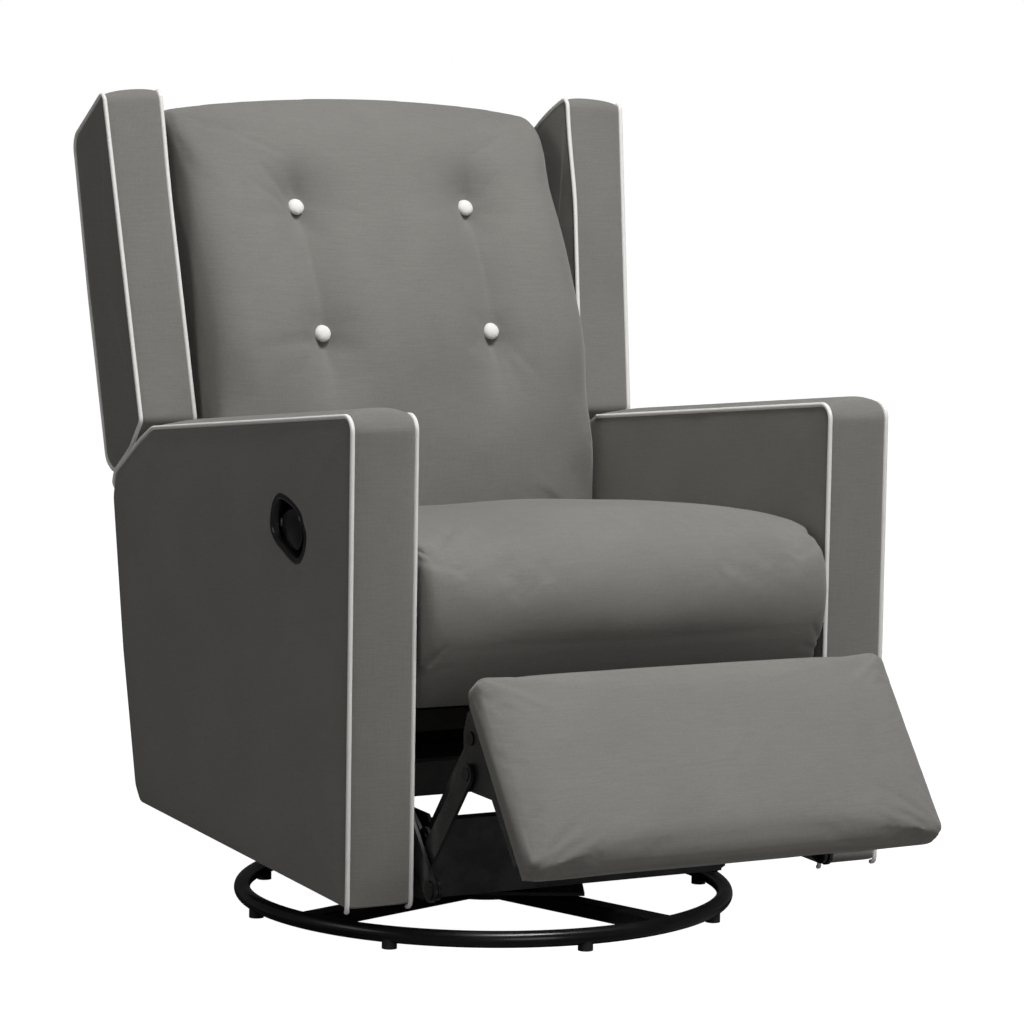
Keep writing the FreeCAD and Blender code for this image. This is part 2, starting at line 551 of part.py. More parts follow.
bb = prism(261.0, 265.0, [(286.0, 318.0), (290.0, 346.0), (352.0, 392.0), (yr(430.0) + 9.0, 410.0), (yr(480.0) + 9.0, 488.0),
                          (yr(480.0) + 22.0, 488.0), (yr(400.0) + 22.0, 400.0), (yr(354.0) + 20.0, 354.0), (314.0, 314.0), (300.0, 309.0)])
bb = bb.cut(cylx(255, 270, PIVOT_BACK[0], PIVOT_BACK[1], 6.06))
BB_YZ = [(yr(372.0) + 15.5, 372.0), (yr(455.0) + 15.5, 455.0)]
for y, z in BB_YZ:
    bb = bb.cut(cylx(255, 270, y, z, 3.0))
add("back_brackets", *both(one(bb)))
bbs = []
bfx = PARTS["back_frame"]
for y, z in BB_YZ:
    bfx = bfx.cut(cylx(244, 262, y, z, 3.0)).cut(cylx(-262, -244, y, z, 3.0))
    bbs += both(one(pin(y, z, (244.0, 265.0, 3.0), (265.0, 266.8, 6.0))))
PARTS["back_frame"] = one(bfx)
add("bracket_screws", *bbs)

# ---------------------------------------------------------------- footrest linkage
main = slotbar(X_MAIN[0], X_MAIN[1], P_O, P_K, 34.0, 28.0).fuse(slotbar(X_MAIN[0], X_MAIN[1], P_K, P_R, 28.0))
main = main.fuse(prism(X_MAIN[0], X_MAIN[1], [P_O, P_K, P_R]))
main = main.cut(cylx(240, 260, P_O[0], P_O[1], 8.0)).cut(cylx(240, 260, P_K[0], P_K[1], 4.0)).cut(cylx(240, 260, P_R[0], P_R[1], 4.0))
add("footrest_main_links", *both(one(main)))

lift = slotbar(X_LIFT[0], X_LIFT[1], P_K, P_F, 28.0, 24.0).fuse(slotbar(X_LIFT[0], X_LIFT[1], P_K, P_Q, 28.0, 24.0))
lift = lift.cut(cylx(250, 262, P_K[0], P_K[1], 4.05)).cut(cylx(250, 262, P_F[0], P_F[1], 4.05)).cut(cylx(250, 262, P_Q[0], P_Q[1], 4.0))
add("footrest_lift_links", *both(one(lift)))

guide = slotbar(X_GUIDE[0], X_GUIDE[1], P_R, P_S, 22.0, 24.0)
guide = guide.cut(cylx(240, 250, P_R[0], P_R[1], 4.05)).cut(cylx(240, 250, P_S[0], P_S[1], 6.0))
add("footrest_guide_links", *both(one(guide)))

ctrl = slotbar(X_CTRL[0], X_CTRL[1], P_P, P_Q, 24.0, 28.0)
ctrl = ctrl.cut(cylx(255, 270, P_P[0], P_P[1], 5.05)).cut(cylx(255, 270, P_Q[0], P_Q[1], 8.0))
add("footrest_control_links", *both(one(ctrl)))

tube = box(-249.0, 249.0, P_O[0] - 12.5, P_O[0] + 12.5, P_O[1] - 12.5, P_O[1] + 12.5)
tube = tube.cut(box(-249.0, 249.0, P_O[0] - 10.0, P_O[0] + 10.0, P_O[1] - 10.0, P_O[1] + 10.0))
tube = tube.fuse(box(-249.0, -245.0, P_O[0] - 12.5, P_O[0] + 12.5, P_O[1] - 12.5, P_O[1] + 12.5))
tube = tube.fuse(box(245.0, 249.0, P_O[0] - 12.5, P_O[0] + 12.5, P_O[1] - 12.5, P_O[1] + 12.5))
for s in (-1, 1):
    tube = tube.fuse(cylx(s * 245.0, s * 266.8, P_O[0], P_O[1], 8.0)).fuse(cylx(s * 266.8, s * 272.4, P_O[0], P_O[1], 6.0))
sector = cylx(-232.0, -228.0, P_O[0], P_O[1], 32.6).cut(cylx(-233.0, -227.0, P_O[0] + 29.5 * math.cos(math.radians(59.0)) * 1.12, P_O[1] - 29.5 * math.sin(math.radians(59.0)) * 1.12, 5.0))
tube = tube.fuse(sector)
add("footrest_drive_tube", one(tube))

kp = both(pin(P_K[0], P_K[1], (247.2, 249.0, 8.0), (249.0, 253.0, 4.0), (253.0, 254.9, 8.0), (254.9, 259.1, 4.0), (259.1, 260.8, 8.0)))
kp += both(pin(P_R[0], P_R[1], (253.0, 254.8, 8.0), (249.0, 253.0, 4.0), (247.1, 249.0, 8.0), (242.9, 247.1, 4.0), (241.2, 242.9, 8.0)))
add("main_link_pins", *[one(p) for p in kp])
qp = both(pin(P_Q[0], P_Q[1], (253.2, 255.0, 8.0), (255.0, 259.0, 4.0), (259.0, 260.9, 7.0), (260.9, 265.1, 4.0), (265.1, 266.8, 11.0)))
add("lift_link_pins", *[one(p) for p in qp])

TH = math.radians(FOOT_TILT)
SN, CS = math.sin(TH), math.cos(TH)


def fl(s, n):
    """Point of the footrest's own frame: s down the board, n out of its face."""
    return (FOOT_TOP[0] - s * SN - n * CS, FOOT_TOP[1] - s * CS + n * SN)


brk = prism(X_MAIN[0], X_MAIN[1], [fl(*p) for p in ((15, -40), (205, -40), (205, -52), (120, -56), (92, -92), (82, -99), (64, -99), (56, -90),
                                                         (28, -72), (15, -52))])
brk = brk.fuse(prism(228.0, X_MAIN[1], [fl(*p) for p in ((15, -40), (205, -40), (205, -43), (15, -43))]))
brk = brk.cut(cylx(245, 256, P_F[0], P_F[1], 4.0)).cut(cylx(245, 256, P_S[0], P_S[1], 4.0))
BR_S = (40.0, 180.0)
for s in BR_S:
    y, z = fl(s, -45.0)
    c = Part.makeCylinder(2.5, 12.0, V(238.0, y, z), V(0, -CS, SN))
    brk = brk.cut(c)
add("footrest_brackets", *both(one(brk)))

board2 = prism(-255.0, 255.0, [fl(*p) for p in ((12, -28), (225, -28), (225, -40), (12, -40))])
scr = []
for s in BR_S:
    y, z = fl(s, -43.0)
    for sx in (-1, 1):
        board2 = board2.cut(Part.makeCylinder(2.5, 12.0, V(sx * 238.0, y, z), V(0, -CS, SN)))
        a = Part.makeCylinder(2.5, 12.0, V(sx * 238.0, y, z), V(0, -CS, SN))
        y2, z2 = fl(s, -45.4)
        h = Part.makeCylinder(5.0, 2.4, V(sx * 238.0, y2, z2), V(0, -CS, SN))
        scr.append(one(a.fuse(h)))
add("footrest_board", one(board2))
add("footrest_screws", *scr)

fp = both(pin(P_F[0], P_F[1], (247.2, 249.0, 8.0), (249.0, 253.0, 4.0), (253.0, 254.9, 8.0), (254.9, 259.1, 4.0), (259.1, 260.0, 8.0)))
fp += both(pin(P_S[0], P_S[1], (253.0, 254.8, 8.0), (249.0, 253.0, 4.0), (247.1, 249.0, 8.0), (242.9, 247.1, 4.0), (241.2, 242.9, 9.0)))
add("bracket_pins", *[one(p) for p in fp])

add("footrest_pad", prism(-FOOT_HALF, FOOT_HALF, [fl(*p) for p in ((5, -28), (0, -10), (2, 8), (20, 19), (70, 23), (118, 24), (167, 23), (217, 19), (235, 8), (237, -10), (232, -28))]))

# ---------------------------------------------------------------- latch
P_L = (-117.5, 304.2)     # pawl pivot
lb = prism(-226.0, -222.0, [(-120.0, 212.0), (-100.0, 212.0), (-50.0, 236.0), (-50.0, 254.0), (-100.0, 312.0), (-112.0, 318.0),
                            (-128.0, 314.0), (-130.0, 300.0), (-106.0, 282.0), (-104.0, 256.0)])
lb = lb.cut(cylx(-230, -218, P_L[0], P_L[1], 4.0))
lb = lb.fuse(box(-234.0, -226.0, -70.0, -52.0, 244.0, 252.0))
lb = lb.cut(cable).cut(cylz(-229.5, -62.0, 240.0, 260.0, 1.0))
add("latch_bracket", one(lb))
lpin = pin(P_L[0], P_L[1], (-222.0, -219.6, 8.0), (-226.0, -222.0, 4.0), (-227.8, -226.0, 7.0), (-232.2, -227.8, 4.0), (-234.0, -232.2, 7.0))
add("mechanism_pins", *([one(q) for q in mpins] + [one(lpin)]))
pw = slotbar(-232.0, -228.0, P_L, (-109.0, 279.6), 18.0, 5.0).fuse(slotbar(-232.0, -228.0, P_L, (-88.0, 314.0), 18.0, 9.0))
pw = pw.cut(cylx(-240, -220, P_L[0], P_L[1], 4.05))
add("latch_pawl", one(pw))

# ---------------------------------------------------------------- write
if __name__ == "__main__":
    bb_all = FreeCAD.BoundBox()
    for name, sh in PARTS.items():
        s = sh.copy()
        s.translate(V(0, ORIGIN_SHIFT_Y, 0))
        bad = [i for i, q in enumerate(s.Solids) if not q.isValid()]
        if bad or not s.Solids:
            print("BAD", name, bad, len(s.Solids))
        if "--" in name:
            continue
        bb_all.add(s.BoundBox)
        s.exportStep("parts/%s.step" % name)
        print("%-26s solids %2d vol %10.0f box x %.1f..%.1f y %.1f..%.1f z %.1f..%.1f" % (
            name, len(s.Solids), s.Volume, s.BoundBox.XMin, s.BoundBox.XMax, s.BoundBox.YMin, s.BoundBox.YMax, s.BoundBox.ZMin, s.BoundBox.ZMax))
    print("nodes", len(PARTS), "box", [round(v, 2) for v in (bb_all.XMin, bb_all.XMax, bb_all.YMin, bb_all.YMax, bb_all.ZMin, bb_all.ZMax)])
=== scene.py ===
import math

import bpy
import bmesh
import numpy as np
from mathutils import Matrix, Vector, noise


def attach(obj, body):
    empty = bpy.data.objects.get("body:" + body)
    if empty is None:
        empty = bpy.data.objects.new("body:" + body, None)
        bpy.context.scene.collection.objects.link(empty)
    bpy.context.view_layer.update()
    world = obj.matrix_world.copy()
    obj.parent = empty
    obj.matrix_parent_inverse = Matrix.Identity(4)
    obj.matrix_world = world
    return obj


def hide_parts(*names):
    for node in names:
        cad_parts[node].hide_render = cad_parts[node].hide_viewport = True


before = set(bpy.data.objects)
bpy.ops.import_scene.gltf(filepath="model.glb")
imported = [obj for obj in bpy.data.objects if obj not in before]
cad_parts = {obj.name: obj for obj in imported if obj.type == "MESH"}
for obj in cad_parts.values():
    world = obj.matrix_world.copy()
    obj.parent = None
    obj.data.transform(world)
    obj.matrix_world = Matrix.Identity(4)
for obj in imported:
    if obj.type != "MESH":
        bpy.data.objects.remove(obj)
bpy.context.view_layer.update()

SHIFT_Y = 32.1          # the outlines below are in mm about the swivel-side datum


# ------------------------------------------------------------------ camera
def make_camera():
    a, p, r = math.radians(-28.555), math.radians(-5.9015), math.radians(0.9144)
    up = Vector((0, 0, 1))
    fwd = Vector((-math.sin(a), math.cos(a), 0))
    right = Vector((math.cos(a), math.sin(a), 0))
    f = fwd * math.cos(p) + up * math.sin(p)
    u = -fwd * math.sin(p) + up * math.cos(p)
    r2 = right * math.cos(r) + u * math.sin(r)
    u2 = -right * math.sin(r) + u * math.cos(r)
    cam = bpy.data.objects.new("camera", bpy.data.cameras.new("camera"))
    cam.data.sensor_width = 36.0
    cam.data.lens = 128.63
    cam.data.clip_end = 100.0
    m = Matrix((r2, u2, -f)).transposed().to_4x4()
    m.translation = Vector((-2.11187, -3.85920, 0.94650))
    cam.matrix_world = m
    bpy.context.collection.objects.link(cam)
    bpy.context.scene.camera = cam
    return cam


make_camera()


# ------------------------------------------------------------------ node helpers
class Nodes:
    def __init__(self, name):
        self.mat = bpy.data.materials.new(name)
        self.mat.use_nodes = True
        self.t = self.mat.node_tree
        self.t.nodes.clear()
        self.out = self.t.nodes.new("ShaderNodeOutputMaterial")
        self.bsdf = self.t.nodes.new("ShaderNodeBsdfPrincipled")
        self.link(self.bsdf.outputs[0], self.out.inputs[0])
        self.tc = None

    def link(self, a, b):
        self.t.links.new(a, b)

    def new(self, kind, **kw):
        n = self.t.nodes.new(kind)
        for k, v in kw.items():
            setattr(n, k, v)
        return n

    def set(self, **kw):
        for k, v in kw.items():
            self.bsdf.inputs[k.replace("_", " ")].default_value = v

    def coord(self, which="Object"):
        if self.tc is None:
            self.tc = self.new("ShaderNodeTexCoord")
        return self.tc.outputs[which]

    def mapped(self, src, scale, rot=(0, 0, 0)):
        m = self.new("ShaderNodeMapping")
        m.inputs["Scale"].default_value = scale
        m.inputs["Rotation"].default_value = rot
        self.link(src, m.inputs["Vector"])
        return m.outputs[0]

    def noise(self, src, scale=1.0, detail=2.0, rough=0.5, dist=0.0):
        n = self.new("ShaderNodeTexNoise")
        n.inputs["Scale"].default_value = scale
        n.inputs["Detail"].default_value = detail
        n.inputs["Roughness"].default_value = rough
        n.inputs["Distortion"].default_value = dist
        self.link(src, n.inputs["Vector"])
        return n.outputs["Fac"]

    def wave(self, src, scale, direction="X", dist=0.0):
        n = self.new("ShaderNodeTexWave", wave_type="BANDS", bands_direction=direction)
        n.inputs["Scale"].default_value = scale
        n.inputs["Distortion"].default_value = dist
        n.inputs["Detail"].default_value = 1.0
        self.link(src, n.inputs["Vector"])
        return n.outputs["Fac"]

    def math(self, op, a, b=None, c=None, clamp=False):
        n = self.new("ShaderNodeMath", operation=op, use_clamp=clamp)
        for i, v in enumerate((a, b, c)):
            if v is None:
                continue
            if isinstance(v, (int, float)):
                n.inputs[i].default_value = v
            else:
                self.link(v, n.inputs[i])
        return n.outputs[0]

    def rng(self, v, a, b, c, d, smooth=False):
        n = self.new("ShaderNodeMapRange")
        if smooth:
            n.interpolation_type = "SMOOTHSTEP"
        for i, x in enumerate((a, b, c, d)):
            n.inputs[i + 1].default_value = x
        self.link(v, n.inputs[0])
        return n.outputs[0]

    def mix(self, fac, a, b, blend="MIX"):
        n = self.new("ShaderNodeMix", data_type="RGBA", blend_type=blend)
        for s, v in ((n.inputs[0], fac), (n.inputs[6], a), (n.inputs[7], b)):
            if isinstance(v, (int, float)):
                s.default_value = v
            elif isinstance(v, tuple):
                s.default_value = (*v, 1.0)
            else:
                self.link(v, s)
        return n.outputs[2]

    def bump(self, h, strength, dist, normal=None):
        n = self.new("ShaderNodeBump")
        n.inputs["Strength"].default_value = strength
        n.inputs["Distance"].default_value = dist
        self.link(h, n.inputs["Height"])
        if normal is not None:
            self.link(normal, n.inputs["Normal"])
        return n.outputs[0]


def abs_normal(m):
    s = m.new("ShaderNodeSeparateXYZ")
    m.link(m.coord("Normal"), s.inputs[0])
    return [m.math("ABSOLUTE", s.outputs[i]) for i in range(3)]


def fabric(name, base, contrast=1.0, sheen=0.35):
    """Fine plain-weave cloth with slubs along both threads and a soft nap."""
    m = Nodes(name)
    o = m.coord("Object")
    nx, ny, nz = abs_normal(m)
    flat = m.rng(nz, 0.55, 0.8, 0.0, 1.0, True)
    # slubs: weft threads across the chair, warp threads up it
    weft_v = m.noise(m.mapped(o, (34, 34, 560)), 1.0, 3.0, 0.62)
    weft_h = m.noise(m.mapped(o, (34, 560, 34)), 1.0, 3.0, 0.62)
    warp_v = m.noise(m.mapped(o, (620, 620, 30)), 1.0, 3.0, 0.62)
    warp_h = m.noise(m.mapped(o, (620, 30, 30)), 1.0, 3.0, 0.62)
    weft = m.math("ADD", m.math("MULTIPLY", weft_v, m.math("SUBTRACT", 1.0, flat)), m.math("MULTIPLY", weft_h, flat))
    warp = m.math("ADD", m.math("MULTIPLY", warp_v, m.math("SUBTRACT", 1.0, flat)), m.math("MULTIPLY", warp_h, flat))
    # single threads, about 1 mm apart, on whichever plane the surface lies
    tx = m.wave(m.mapped(o, (1, 1, 1)), 300.0, "X", 1.2)
    ty = m.wave(m.mapped(o, (1, 1, 1)), 300.0, "Y", 1.2)
    tz = m.wave(m.mapped(o, (1, 1, 1)), 300.0, "Z", 1.2)
    thr = m.math("ADD", m.math("ADD", m.math("MULTIPLY", tx, m.math("SUBTRACT", 1.0, nx)), m.math("MULTIPLY", ty, m.math("SUBTRACT", 1.0, ny))), m.math("MULTIPLY", tz, m.math("SUBTRACT", 1.0, nz)))
    nap = m.noise(m.mapped(o, (1, 1, 1)), 7.0, 3.0, 0.55, 0.4)
    fine = m.noise(m.mapped(o, (1, 1, 1)), 480.0, 2.0, 0.6)
    v = m.math("ADD", m.math("MULTIPLY", m.rng(weft, 0.3, 0.7, -1, 1), 0.050 * contrast), m.math("MULTIPLY", m.rng(warp, 0.3, 0.7, -1, 1), 0.032 * contrast))
    v = m.math("ADD", v, m.math("MULTIPLY", m.rng(nap, 0.3, 0.7, -1, 1), 0.045 * contrast))
    v = m.math("ADD", v, m.math("MULTIPLY", m.rng(fine, 0.3, 0.7, -1, 1), 0.040 * contrast))
    v = m.math("ADD", v, m.math("MULTIPLY", m.rng(thr, 0.0, 2.0, -1, 1), 0.030 * contrast))
    k = m.math("ADD", v, 1.0)
    dark = tuple(c * 0.55 for c in base)
    lite = tuple(min(1.0, c * 1.45) for c in base)
    col = m.mix(m.rng(k, 0.55, 1.45, 0.0, 1.0), dark, lite)
    m.link(col, m.bsdf.inputs["Base Color"])
    m.set(Roughness=0.92, Specular_IOR_Level=0.18, Sheen_Weight=sheen, Sheen_Roughness=0.45)
    m.bsdf.inputs["Sheen Tint"].default_value = (0.93, 0.92, 0.89, 1.0)
    h = m.math("ADD", m.math("MULTIPLY", thr, 0.35), m.math("ADD", m.math("MULTIPLY", weft, 0.5), m.math("MULTIPLY", warp, 0.35)))
    b = m.bump(h, 0.35, 0.0006)
    b = m.bump(nap, 0.12, 0.004, b)
    m.link(b, m.bsdf.inputs["Normal"])
    return m.mat


def cotton(name, base):
    """Tightly woven bias tape over cord: a fine twill line round the cord."""
    m = Nodes(name)
    o = m.coord("Object")
    tw = m.wave(m.mapped(o, (1, 1, 1), (0.5, 0.62, 0.4)), 420.0, "Z", 2.0)
    n1 = m.noise(m.mapped(o, (1, 1, 1)), 60.0, 3.0, 0.6)
    n2 = m.noise(m.mapped(o, (1, 1, 1)), 700.0, 2.0, 0.6)
    v = m.math("ADD", m.math("MULTIPLY", m.rng(n1, 0.3, 0.7, -1, 1), 0.035), m.math("MULTIPLY", m.rng(tw, 0, 1, -1, 1), 0.03))
    v = m.math("ADD", v, m.math("MULTIPLY", m.rng(n2, 0.3, 0.7, -1, 1), 0.02))
    col = m.mix(m.rng(m.math("ADD", v, 1.0), 0.8, 1.2, 0.0, 1.0), tuple(c * 0.9 for c in base), tuple(min(0.97, c * 1.07) for c in base))
    m.link(col, m.bsdf.inputs["Base Color"])
    m.set(Roughness=0.8, Specular_IOR_Level=0.25, Sheen_Weight=0.2, Sheen_Roughness=0.5)
    m.link(m.bump(m.math("ADD", tw, n2), 0.3, 0.0004), m.bsdf.inputs["Normal"])
    return m.mat


def paint(name, base=(0.008, 0.008, 0.009)):
    """Black gloss enamel over steel: orange peel, dust in patches, worn edges."""
    m = Nodes(name)
    o = m.coord("Object")
    peel = m.noise(m.mapped(o, (1, 1, 1)), 260.0, 2.0, 0.5)
    dust = m.noise(m.mapped(o, (1, 1, 1)), 34.0, 4.0, 0.65)
    smear = m.noise(m.mapped(o, (1, 1, 1)), 9.0, 3.0, 0.6)
    geo = m.new("ShaderNodeNewGeometry")
    worn = m.rng(geo.outputs["Pointiness"], 0.53, 0.62, 0.0, 1.0, True)
    worn = m.math("MULTIPLY", worn, m.rng(dust, 0.4, 0.6, 0.15, 1.0))
    col = m.mix(m.math("MULTIPLY", m.rng(dust, 0.45, 0.75, 0.0, 1.0), 0.35), base, tuple(c * 2.0 + 0.006 for c in base))
    col = m.mix(m.math("MULTIPLY", worn, 0.35), col, (0.05, 0.05, 0.05))
    m.link(col, m.bsdf.inputs["Base Color"])
    m.link(m.rng(smear, 0.3, 0.7, 0.20, 0.38), m.bsdf.inputs["Roughness"])
    m.set(Specular_IOR_Level=0.5)
    m.link(m.bump(peel, 0.10, 0.0005), m.bsdf.inputs["Normal"])
    return m.mat


def steel(name, base=(0.50, 0.50, 0.49), rough=0.34):
    m = Nodes(name)
    o = m.coord("Object")
    n1 = m.noise(m.mapped(o, (1, 1, 1)), 120.0, 3.0, 0.6)
    n2 = m.noise(m.mapped(o, (40, 900, 900)), 1.0, 2.0, 0.6)
    m.link(m.mix(m.rng(n1, 0.3, 0.7, 0, 1), tuple(c * 0.8 for c in base), tuple(min(1, c * 1.15) for c in base)), m.bsdf.inputs["Base Color"])
    m.link(m.rng(n1, 0.3, 0.7, rough - 0.08, rough + 0.1), m.bsdf.inputs["Roughness"])
    m.set(Metallic=1.0)
    m.link(m.bump(n2, 0.12, 0.0003), m.bsdf.inputs["Normal"])
    return m.mat


def wood(name, k=1.0):
    m = Nodes(name)
    o = m.coord("Object")
    d = m.noise(m.mapped(o, (3, 3, 3)), 1.0, 2.0)
    c = m.new("ShaderNodeVectorMath", operation="ADD")
    m.link(m.mapped(o, (1.5, 28, 28)), c.inputs[0])
    m.link(d, c.inputs[1])
    rings = m.wave(c.outputs[0], 1.6, "DIAGONAL", 3.5)
    fib = m.noise(m.mapped(o, (14, 420, 420)), 1.0, 3.0, 0.6)
    tone = (0.55, 0.40, 0.24), (0.36, 0.24, 0.13), (0.27, 0.17, 0.09)
    light, mid, dark = [tuple(c * k for c in t) for t in tone]
    col = m.mix(rings, mid, light)
    col = m.mix(m.math("MULTIPLY", m.rng(fib, 0.35, 0.65, 0, 1), 0.35), col, dark)
    m.link(col, m.bsdf.inputs["Base Color"])
    m.link(m.rng(fib, 0.3, 0.7, 0.55, 0.78), m.bsdf.inputs["Roughness"])
    m.link(m.bump(fib, 0.2, 0.0006), m.bsdf.inputs["Normal"])
    return m.mat


def moulded(name, base=(0.010, 0.010, 0.010), rough=0.16, grain=0.05):
    m = Nodes(name)
    o = m.coord("Object")
    g = m.noise(m.mapped(o, (1, 1, 1)), 900.0, 2.0, 0.6)
    s = m.noise(m.mapped(o, (1, 1, 1)), 45.0, 3.0, 0.6)
    m.link(m.mix(m.rng(s, 0.3, 0.7, 0, 1), base, tuple(c * 1.8 + 0.002 for c in base)), m.bsdf.inputs["Base Color"])
    m.link(m.rng(s, 0.3, 0.7, rough, rough + 0.14), m.bsdf.inputs["Roughness"])
    m.set(Specular_IOR_Level=0.5)
    m.link(m.bump(g, grain, 0.0003), m.bsdf.inputs["Normal"])
    return m.mat


def foam_lining(name, base):
    """Black non-woven dust cloth and felt on the hidden faces."""
    m = Nodes(name)
    o = m.coord("Object")
    f = m.noise(m.mapped(o, (1, 1, 1)), 260.0, 4.0, 0.7)
    m.link(m.mix(m.rng(f, 0.3, 0.7, 0, 1), base, tuple(c * 2.2 for c in base)), m.bsdf.inputs["Base Color"])
    m.set(Roughness=0.95, Specular_IOR_Level=0.1)
    m.link(m.bump(f, 0.4, 0.0006), m.bsdf.inputs["Normal"])
    return m.mat


GREY = (0.212, 0.2045, 0.1893)
M_FABRIC = fabric("grey_linen", GREY)
M_WELT = cotton("white_welt", (0.90, 0.89, 0.86))
M_BUTTON = cotton("white_button", (0.90, 0.89, 0.87))
M_PAINT = paint("black_enamel")
M_ZINC = steel("zinc_plate")
M_PIN = steel("black_oxide", (0.055, 0.055, 0.055), 0.32)
M_WOOD_DARK = wood("stained_wood", 0.10)
M_BALL = steel("bearing_steel", (0.62, 0.62, 0.61), 0.18)
M_SPRING = steel("spring_wire", (0.30, 0.29, 0.28), 0.4)
M_WOOD = wood("frame_wood")
M_PLASTIC = moulded("gloss_plastic")
M_NYLON = moulded("nylon_cage", (0.6, 0.58, 0.5), 0.4)
M_RUBBER = moulded("pad_rubber", (0.018, 0.018, 0.018), 0.6, 0.2)
M_SHEATH = moulded("cable_sheath", (0.02, 0.02, 0.021), 0.45, 0.1)
M_LINING = foam_lining("dust_cloth", (0.012, 0.012, 0.012))

NODE_MAT = {}
for n in ("base_ring", "base_spokes", "swivel_lower_plate", "swivel_upper_plate", "glider_cross_bars", "glider_side_plates",
          "glider_front_channel", "glide_links_front", "glide_links_rear", "glide_rails", "cross_members", "mechanism_plate_left",
          "mechanism_plate_right", "latch_bracket", "back_brackets", "footrest_main_links", "footrest_drive_tube", "footrest_lift_links",
          "footrest_guide_links", "footrest_control_links", "footrest_brackets"):
    NODE_MAT[n] = M_PAINT
for n in ("swivel_spindle", "glide_upper_pins", "glide_lower_pins", "mechanism_pins", "frame_bolts", "latch_pawl", "bracket_screws",
          "main_link_pins", "lift_link_pins", "footrest_screws", "bracket_pins"):
    NODE_MAT[n] = M_ZINC
for n in ("mechanism_pins", "main_link_pins", "lift_link_pins", "bracket_pins", "glide_upper_pins", "glide_lower_pins"):
    NODE_MAT[n] = M_PIN
NODE_MAT["swivel_balls"] = M_BALL
NODE_MAT["swivel_ball_cage"] = M_NYLON
NODE_MAT["floor_pads"] = M_RUBBER
NODE_MAT["release_cable"] = M_SHEATH
for n in ("lever_spring", "seat_springs", "back_springs"):
    NODE_MAT[n] = M_SPRING
for n in ("seat_frame", "rear_frame_rail", "arm_frame_left", "arm_frame_right", "back_frame", "wing_boards", "footrest_board"):
    NODE_MAT[n] = M_WOOD
for n in ("seat_frame", "rear_frame_rail", "back_frame", "wing_boards"):
    NODE_MAT[n] = M_WOOD_DARK
for n in ("handle_cup", "handle_lever"):
    NODE_MAT[n] = M_PLASTIC
for n, mat in NODE_MAT.items():
    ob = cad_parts[n]
    for s in ob.material_slots:
        s.material = mat


# ------------------------------------------------------------------ mesh helpers (mm in, metres out)
def mesh_object(name, verts, faces, mat, smooth=True):
    v = np.asarray(verts, float).copy()
    v[:, 1] += SHIFT_Y
    v /= 1000.0
    me = bpy.data.meshes.new(name)
    me.from_pydata(v.tolist(), [], [tuple(int(i) for i in f) for f in faces])
    me.validate()
    bm = bmesh.new()
    bm.from_mesh(me)
    bmesh.ops.remove_doubles(bm, verts=bm.verts, dist=1e-6)
    bmesh.ops.recalc_face_normals(bm, faces=bm.faces)
    bm.to_mesh(me)
    bm.free()
    me.materials.append(mat)
    if smooth:
        me.polygons.foreach_set("use_smooth", [True] * len(me.polygons))
    ob = bpy.data.objects.new(name, me)
    bpy.context.collection.objects.link(ob)
    return ob


def get_co(ob):
    """Vertices in mm about the datum."""
    me = ob.data
    a = np.empty(len(me.vertices) * 3)
    me.vertices.foreach_get("co", a)
    a = a.reshape(-1, 3) * 1000.0
    a[:, 1] -= SHIFT_Y
    return a


def put_co(ob, v):
    a = np.array(v, float)
    a[:, 1] += SHIFT_Y
    ob.data.vertices.foreach_set("co", (a / 1000.0).ravel())
    ob.data.update()


def get_no(ob):
    me = ob.data
    a = np.empty(len(me.vertices) * 3)
    me.vertices.foreach_get("normal", a)
    return a.reshape(-1, 3)


def wobble(p, size, seed=0.0):
    """Smooth noise, about -1..1, at points in mm."""
    q = np.asarray(p, float) / size
    return np.array([noise.noise(Vector((x + seed, y - seed * 0.7, z + seed * 0.31))) for x, y, z in q]) * 1.6


def smoothstep(a, b, x):
    t = np.clip((np.asarray(x, float) - a) / (b - a), 0, 1)
    return t * t * (3 - 2 * t)


